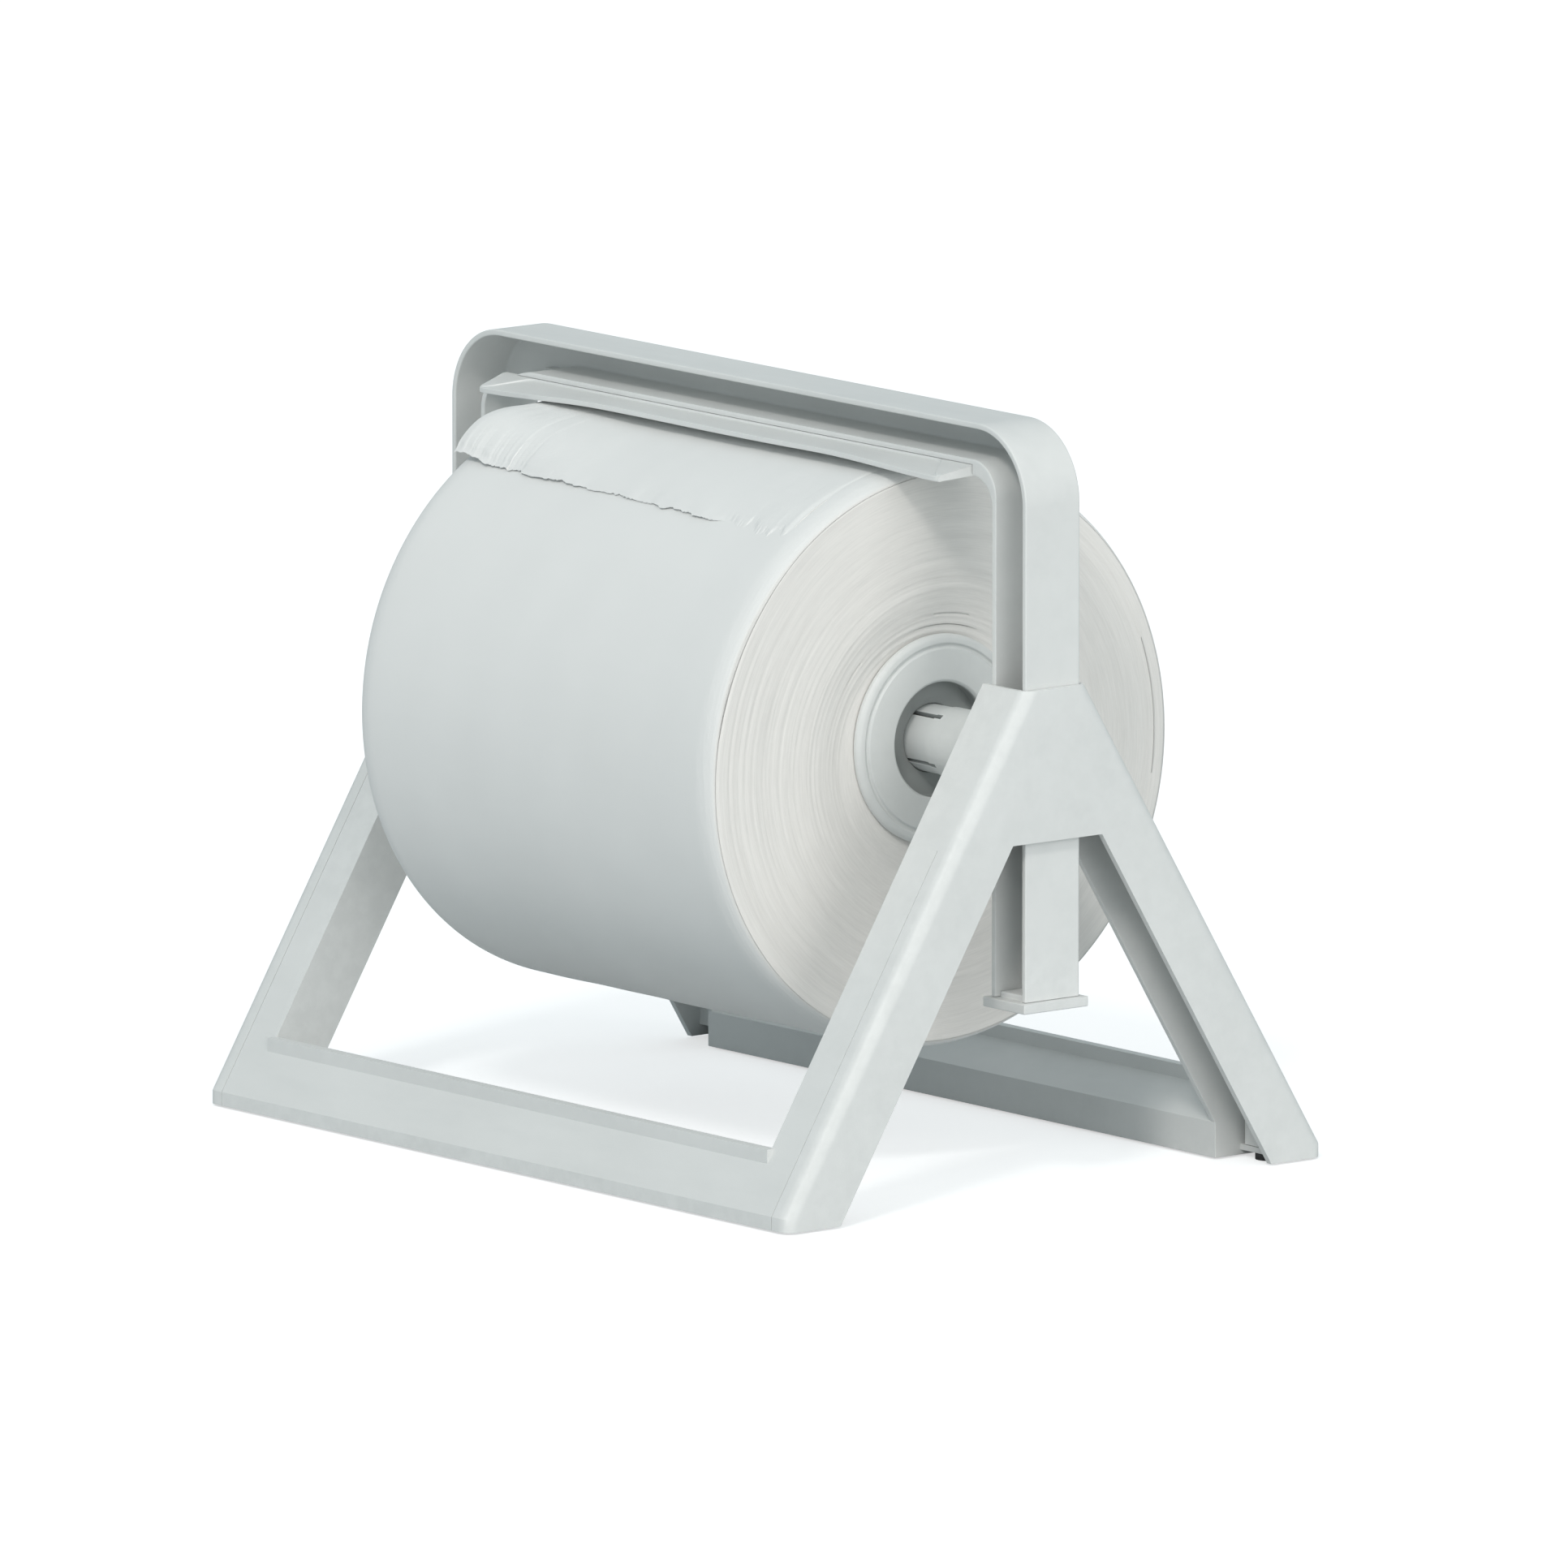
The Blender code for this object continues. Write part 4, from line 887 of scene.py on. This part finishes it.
# Last turn of paper: torn along its front edge, lifted off the winding at its left end
TORN_LEFT = math.radians(123.6)
TORN_RIGHT = math.radians(127.0)
FAR_ANGLE = math.radians(20.0)
SHEET_LEFT = -ROLL_HALF + 1.0 * MM
SHEET_RIGHT = ROLL_HALF - 14.5 * MM
SHEET_ACROSS = 560
SHEET_ALONG = 120
SHEET_CROWDING = 1.8
SHEET_THICK = 0.30 * MM
SHEET_GAP = 0.20 * MM
SHEET_SINK = 0.85 * MM
TEAR_VALUES = RNG.normal(0.0, 1.0, 997)
CURL_VALUES = RNG.normal(0.0, 1.0, 61)
# Ragged line of the tear as (height, values along the sheet, first value)
TEAR_LAYERS = ((0.55 * MM, 38, 0), (0.35 * MM, 120, 40), (0.22 * MM, 400, 80))
RAGGED_RIGHT = 2.2
RAGGED_ENDS = (70.0 * MM, 105.0 * MM)
# Faint wrinkles as (height, turn across the sheet, turn per radian round)
WRINKLES = ((0.06 * MM, 61.0, 7.0), (0.05 * MM, 23.0, -19.0))
# Height of the slack left part and the tight rest over the arc from the torn edge, both in mm
SLACK_CURVE = ((0.0, 0.0), (10.0, 4.2), (22.0, 7.4), (34.0, 7.0), (45.0, 4.6), (51.0, 3.3), (69.0, 1.5),
               (90.0, 0.7), (150.0, 0.0))
TIGHT_CURVE = ((0.0, 0.0), (24.0, 0.7), (48.0, 0.0), (150.0, 0.0))
SLACK_ENDS = (-140.0 * MM, -30.0 * MM)
CORNER_ENDS = (-142.0 * MM, -108.0 * MM)
CORNER_LIFT = 4.6 * MM
EDGE_LIFT = 0.75 * MM
EDGE_LIFT_ENDS = (60.0 * MM, 80.0 * MM)
CURVE_SPREAD = 5.0 * MM
EDGE_FADE_ARC = 48.0 * MM
EDGE_FADE_SHARE = 0.35
LONG_FADE_END = -90.0 * MM
# Uneven lift right of its start, from values along the sheet
UNEVEN_START = -100.0 * MM
UNEVEN_VALUES_PER_METRE = 85.0
UNEVEN_FIRST_VALUE = 30.0
UNEVEN_MEAN = 0.75
UNEVEN_SWING = 0.55
UNEVEN_LEAST = 0.15
UNEVEN_MOST = 1.3
TIGHT_EDGE_ENDS = (66.0 * MM, 80.0 * MM)
TIGHT_EDGE_ARC = 7.0 * MM
FAR_EDGE_ARC = 12.0 * MM
RIGHT_EDGE_WIDTH = 4.0 * MM
SHOULDER_FOLLOW_SHARE = 0.35


def smooth_noise(values, place):
    """Value read between the numbers of a closed row."""
    low = int(math.floor(place))
    t = ease(place - low, 0.0, 1.0)
    return values[low % len(values)] * (1 - t) + values[(low + 1) % len(values)] * t


def tear_at(x):
    """Angle of the torn edge: a straight run with a fine ragged line."""
    share = (x - SHEET_LEFT) / (SHEET_RIGHT - SHEET_LEFT)
    rough = sum(height * smooth_noise(TEAR_VALUES, share * count + first)
                for height, count, first in TEAR_LAYERS)
    ragged = 1.0 + RAGGED_RIGHT * ease(x, *RAGGED_ENDS)
    return TORN_LEFT + (TORN_RIGHT - TORN_LEFT) * share + rough * ragged / ROLL_RADIUS


def along_curve(curve, arc):
    """Height in metres read from (arc, height) points in millimetres."""
    arcs, heights = zip(*curve)
    return float(np.interp(arc / MM, arcs, heights)) * MM


def sheet_bulge(x, from_edge):
    """Height of the loose wave behind the torn edge, smoothed along the arc."""
    slack = 1 - ease(x, *SLACK_ENDS)
    places = [from_edge + CURVE_SPREAD * k for k in (-1, -0.5, 0, 0.5, 1)]
    heights = [along_curve(SLACK_CURVE, place) * slack + along_curve(TIGHT_CURVE, place) for place in places]
    return sum(heights) / len(heights) * min(1.0, from_edge / CURVE_SPREAD)


def sheet_lift(x, from_edge):
    """How far the sheet stands off the winding, by place along the roll and distance from the torn edge."""
    edge = CORNER_LIFT * (1 - ease(x, *CORNER_ENDS)) + EDGE_LIFT * (1 - ease(x, *EDGE_LIFT_ENDS))
    if x >= UNEVEN_START:
        value = smooth_noise(CURL_VALUES, x * UNEVEN_VALUES_PER_METRE + UNEVEN_FIRST_VALUE)
        edge *= max(UNEVEN_LEAST, min(UNEVEN_MOST, UNEVEN_MEAN + UNEVEN_SWING * value))
    fade_end = 1.0 if x < LONG_FADE_END else EDGE_FADE_SHARE
    return edge * (1 - ease(from_edge / EDGE_FADE_ARC, 0.0, fade_end)) + sheet_bulge(x, from_edge)


def sheet_sink(x, from_edge, from_far):
    """How far the sheet's tight torn edge, right edge and far edge sink into the winding."""
    sunk = ease(x, *TIGHT_EDGE_ENDS) * (1 - ease(from_edge, 0.0, TIGHT_EDGE_ARC))
    sunk += ease(x, SHEET_RIGHT - RIGHT_EDGE_WIDTH, SHEET_RIGHT)
    sunk += 1 - ease(from_far, 0.0, FAR_EDGE_ARC)
    return SHEET_SINK * min(1.0, sunk)


def shoulder_drop(x):
    """How far the winding falls away under the sheet at the roll's left shoulder."""
    over = max(0.0, -x - (ROLL_HALF - SHOULDER_LENGTH)) / SHOULDER_LENGTH
    return SHOULDER_DEPTH * (1 - math.sqrt(max(0.0, 1 - min(1.0, over) ** 2)))


def sheet_row(bm, share, thickness):
    """Vertices of one layer from the far edge to the torn edge, at a share of the sheet's width."""
    x = SHEET_LEFT + (SHEET_RIGHT - SHEET_LEFT) * share
    torn = tear_at(x)
    base = ROLL_RADIUS + SHEET_GAP + thickness - shoulder_drop(x) * SHOULDER_FOLLOW_SHARE
    row = []
    for k in range(SHEET_ALONG + 1):
        part = 1 - (1 - k / SHEET_ALONG) ** SHEET_CROWDING
        angle = FAR_ANGLE + (torn - FAR_ANGLE) * part
        from_edge = (torn - angle) * ROLL_RADIUS
        from_far = (angle - FAR_ANGLE) * ROLL_RADIUS
        wrinkle = sum(height * math.sin(share * across + angle * around)
                      for height, across, around in WRINKLES)
        radius = base + sheet_lift(x, from_edge) + wrinkle - sheet_sink(x, from_edge, from_far)
        row.append(bm.verts.new((x, radius * math.cos(angle), radius * math.sin(angle))))
    return row


def loose_sheet():
    """A closed sheet: two layers joined along their four edges."""
    bm = bmesh.new()
    layers = []
    for thickness in (0.0, SHEET_THICK):
        layers.append([sheet_row(bm, a / SHEET_ACROSS, thickness) for a in range(SHEET_ACROSS + 1)])
    inside, outside = layers
    for rows in layers:
        for first, second in zip(rows, rows[1:]):
            join_lines(bm, first, second, closed=False)
    for k in (0, -1):
        join_lines(bm, [row[k] for row in inside], [row[k] for row in outside], closed=False)
        join_lines(bm, inside[k], outside[k], closed=False)
    return bm


sheet = show("loose_sheet_torn", lifted(loose_sheet(), ROLL_Z), PAPER, "roll", ["loose_sheet"],
             crease=50.0)


# Small parts keep their CAD shape with better finishes
def finish_small_parts():
    for name, node in NODES.items():
        if name.startswith(("foot_screw", "shelf_screw")) or name.endswith("spindle_screw"):
            node.data.materials.clear()
            node.data.materials.append(STEEL)
        if name.startswith("rubber_foot"):
            node.data.materials.clear()
            node.data.materials.append(RUBBER)


# Stage: a pale floor that fades into a white background
WHITE = rgba(1, 1, 1)
FLOOR_HALF = 6.0
FLOOR_SQUARES = 8
FLOOR_GLOW = 0.60
SUN_COLOUR = (1.0, 0.965, 0.93)
SUN_DISTANCE = 2.0
# Suns as (name, azimuth, elevation, strength, spread), with angles in degrees
SUNS = (
    ("key", 33.7, 43.3, 0.88, 9.0),
    ("wide_key", 33.7, 43.3, 0.33, 45.0),
    ("side", 85.0, 15.0, 1.08, 50.0),
)
SKY_COLOUR = rgba(0.86, 0.98, 1.02)
SKY_STRENGTH = 0.52


def floor_material():
    """Pale matt floor that glows a little for the camera only."""
    t = Tree("floor_paper")
    cloud = t.remap(t.noise(1.4, 2.0, 0.5), 0.3, 0.7)
    tone = t.mix(cloud, rgba(0.59, 0.61, 0.62), rgba(0.61, 0.63, 0.64))
    t.set(Base_Color=tone, Roughness=0.9, Specular_IOR_Level=0.2)
    plain = t.shader.outputs[0]
    glow = t.node("ShaderNodeEmission", {"Color": WHITE, "Strength": FLOOR_GLOW})
    glowing = t.node("ShaderNodeAddShader", {})
    t.tree.links.new(plain, glowing.node.inputs[0])
    t.tree.links.new(glow, glowing.node.inputs[1])
    seen = t.node("ShaderNodeLightPath", output="Is Camera Ray")
    chosen = t.node("ShaderNodeMixShader", {})
    t.tree.links.new(seen, chosen.node.inputs[0])
    t.tree.links.new(plain, chosen.node.inputs[1])
    t.tree.links.new(glowing, chosen.node.inputs[2])
    t.tree.links.new(chosen, t.tree.nodes["Material Output"].inputs["Surface"])
    return t.material


def stage():
    bm = bmesh.new()
    bmesh.ops.create_grid(bm, x_segments=FLOOR_SQUARES, y_segments=FLOOR_SQUARES, size=FLOOR_HALF)
    floor = new_object("floor", bm)
    floor.data.materials.append(floor_material())


def towards(azimuth, elevation):
    """Unit vector from the object to a place at an azimuth (0 is in front, 90 is right) and elevation."""
    a, e = math.radians(azimuth), math.radians(elevation)
    return Vector((math.sin(a) * math.cos(e), -math.cos(a) * math.cos(e), math.sin(e)))


def sun(name, azimuth, elevation, strength, spread):
    lamp = bpy.data.lights.new(name, "SUN")
    lamp.energy = strength
    lamp.angle = math.radians(spread)
    lamp.color = SUN_COLOUR
    made = bpy.data.objects.new(name, lamp)
    made.rotation_mode = "QUATERNION"
    made.rotation_quaternion = towards(azimuth, elevation).to_track_quat("Z", "Y")
    made.location = towards(azimuth, elevation) * SUN_DISTANCE
    bpy.context.scene.collection.objects.link(made)


def sky():
    """Soft cool light from all round, seen by the camera as plain white."""
    world = bpy.data.worlds.new("studio")
    bpy.context.scene.world = world
    world.use_nodes = True
    nodes, links = world.node_tree.nodes, world.node_tree.links
    nodes.clear()
    soft = nodes.new("ShaderNodeBackground")
    soft.inputs["Color"].default_value = SKY_COLOUR
    soft.inputs["Strength"].default_value = SKY_STRENGTH
    white = nodes.new("ShaderNodeBackground")
    white.inputs["Color"].default_value = WHITE
    white.inputs["Strength"].default_value = 1.0
    path = nodes.new("ShaderNodeLightPath")
    mixed = nodes.new("ShaderNodeMixShader")
    output = nodes.new("ShaderNodeOutputWorld")
    links.new(path.outputs["Is Camera Ray"], mixed.inputs[0])
    links.new(soft.outputs[0], mixed.inputs[1])
    links.new(white.outputs[0], mixed.inputs[2])
    links.new(mixed.outputs[0], output.inputs["Surface"])


# Camera: the photograph's near-parallel view
PHOTO_SIZE = 1932
PIXELS_PER_METRE = 2484.0
VIEW_AZIMUTH = 51.4
VIEW_ELEVATION = 9.67
VIEW_NEARNESS = 0.063
VIEW_DISTANCE = 1 / VIEW_NEARNESS
PIVOT_PIXEL = (939.96, 1027.46)
PIVOT_Z = 150.0 * MM
SENSOR_WIDTH = 36
CLIP_NEAR = 0.1
CLIP_FAR = 100


def camera():
    """The camera fitted to the photograph, aimed so that its pivot falls on the pivot's pixel."""
    back = towards(VIEW_AZIMUTH, VIEW_ELEVATION)
    right = Vector((math.cos(math.radians(VIEW_AZIMUTH)), math.sin(math.radians(VIEW_AZIMUTH)), 0))
    up = back.cross(right)
    aim = Vector((0, 0, PIVOT_Z))
    aim += right * (PHOTO_SIZE / 2 - PIVOT_PIXEL[0]) / PIXELS_PER_METRE
    aim += up * (PIVOT_PIXEL[1] - PHOTO_SIZE / 2) / PIXELS_PER_METRE
    data = bpy.data.cameras.new("photo_view")
    data.sensor_width = SENSOR_WIDTH
    data.lens = SENSOR_WIDTH * VIEW_DISTANCE * PIXELS_PER_METRE / PHOTO_SIZE
    data.clip_start = CLIP_NEAR
    data.clip_end = CLIP_FAR
    made = bpy.data.objects.new("photo_view", data)
    made.location = aim + back * VIEW_DISTANCE
    made.rotation_mode = "QUATERNION"
    made.rotation_quaternion = back.to_track_quat("Z", "Y")
    bpy.context.scene.collection.objects.link(made)
    bpy.context.scene.camera = made


finish_small_parts()
stage()
for settings in SUNS:
    sun(*settings)
sky()
camera()
bpy.context.scene.view_settings.view_transform = "Standard"
